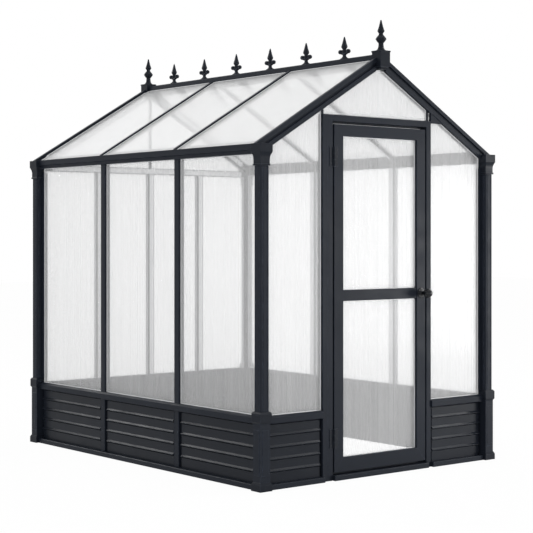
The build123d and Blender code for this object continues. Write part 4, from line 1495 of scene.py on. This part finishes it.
@dataclass
class Studio:
    """Plain pale floor, soft lamps, white surround and the photograph's camera."""

    camera_place: tuple[float, float, float] = (-5.732, -7.223, 1.379)
    camera_yaw: float = 0.6802
    focal_px: float = 1435.0
    frame_px: float = 533.0
    horizon_px_above_middle: float = 31.2
    sensor_mm: float = 36.0
    far_end: float = 200.0
    surround: float = 0.80
    floor_half: float = 30.0
    floor_grains: float = 0.7
    floor_tone: Point2 = (0.80, 0.82)
    floor_white: float = 0.97
    lamps: tuple[Lamp, ...] = (
        Lamp("key_lamp", (7.3, -7.0, 0.9), (0.3, -1.0, 0.9), 2.4, 360),
        Lamp("front_left_lamp", (-6.4, -5.2, 1.4), (-0.9, -1.2, 1.3), 1.4, 80),
        Lamp("rear_left_lamp", (-2.2, 7.6, 5.0), (-0.9, -0.2, 0.3), 1.4, 150),
        Lamp("right_high_lamp", (6.5, -3.3, 6.3), (0.3, -1.2, 0.3), 1.6, 150),
        Lamp("top_lamp", (0.5, -1.0, 7.5), (0.0, 0.0, 1.5), 5.0, 100))

    def camera(self) -> None:
        """Set the camera at the photograph's viewing angle."""
        data = bpy.data.cameras.new("photo_camera")
        data.sensor_width = self.sensor_mm
        data.lens = self.focal_px / self.frame_px * self.sensor_mm
        data.shift_y = -self.horizon_px_above_middle / self.frame_px
        data.clip_end = self.far_end
        camera = bpy.data.objects.new("photo_camera", data)
        camera.location = self.camera_place
        camera.rotation_euler = (math.pi / 2, 0, -self.camera_yaw)
        bpy.context.scene.collection.objects.link(camera)
        bpy.context.scene.camera = camera

    def world(self) -> None:
        """Make a white surround for the camera, gloss and clear sheets, and a softer one as light."""
        world = bpy.data.worlds.new("studio_surround")
        world.use_nodes = True
        plan = NodePlan(world.node_tree)
        level = plan.mapped(plan.seen(), (0.0, 1.0), (self.surround, 1.0))
        back = plan.add("ShaderNodeBackground", {"Color": WHITE, "Strength": level})
        plan.add("ShaderNodeOutputWorld", {"Surface": back.outputs[0]})
        bpy.context.scene.world = world

    def floor(self) -> None:
        """Lay the floor, white to the camera with the object's soft shadow kept."""
        half = self.floor_half
        mesh = bpy.data.meshes.new("studio_floor")
        mesh.from_pydata([(-half, -half, 0), (half, -half, 0), (half, half, 0), (-half, half, 0)], [],
                         [(0, 1, 2, 3)])
        floor = add_piece("studio_floor", mesh)
        sheet = NodeSheet("studio_floor_finish")
        tone = sheet.drift(self.floor_grains, 3.0, *self.floor_tone)
        grey = sheet.add("ShaderNodeCombineColor", {0: tone, 1: tone, 2: tone}).outputs[0]
        matt = sheet.add("ShaderNodeBsdfDiffuse", {"Color": grey}).outputs[0]
        glow = sheet.add("ShaderNodeEmission", {"Color": WHITE, "Strength": 1.0}).outputs[0]
        share = sheet.math("MULTIPLY", sheet.seen(), self.floor_white)
        mesh.materials.append(sheet.finish(sheet.add("ShaderNodeMixShader", {0: share, 1: matt, 2: glow})))

    def build(self) -> None:
        """Set up the whole studio."""
        self.world()
        self.floor()
        for lamp in self.lamps:
            lamp.hang()
        self.camera()


def main() -> None:
    """Dress the greenhouse, set the studio and note the sizes."""
    logging.basicConfig(level=logging.INFO, format="%(name)s: %(message)s")
    scene = bpy.context.scene
    scene.view_settings.view_transform = "Standard"
    finishes = Finishes()
    scatter_tree = ScatterTree()
    for part in (Metalwork(finishes), Glazing(finishes), Cresting(finishes, scatter_tree),
                 DoorFittings(finishes, scatter_tree), PaintedLightStrips(finishes)):
        for piece in part.build():
            LOG.info("%s: %d faces", piece.name, len(piece.data.polygons))
    Studio().build()


if __name__ == "__main__":
    main()
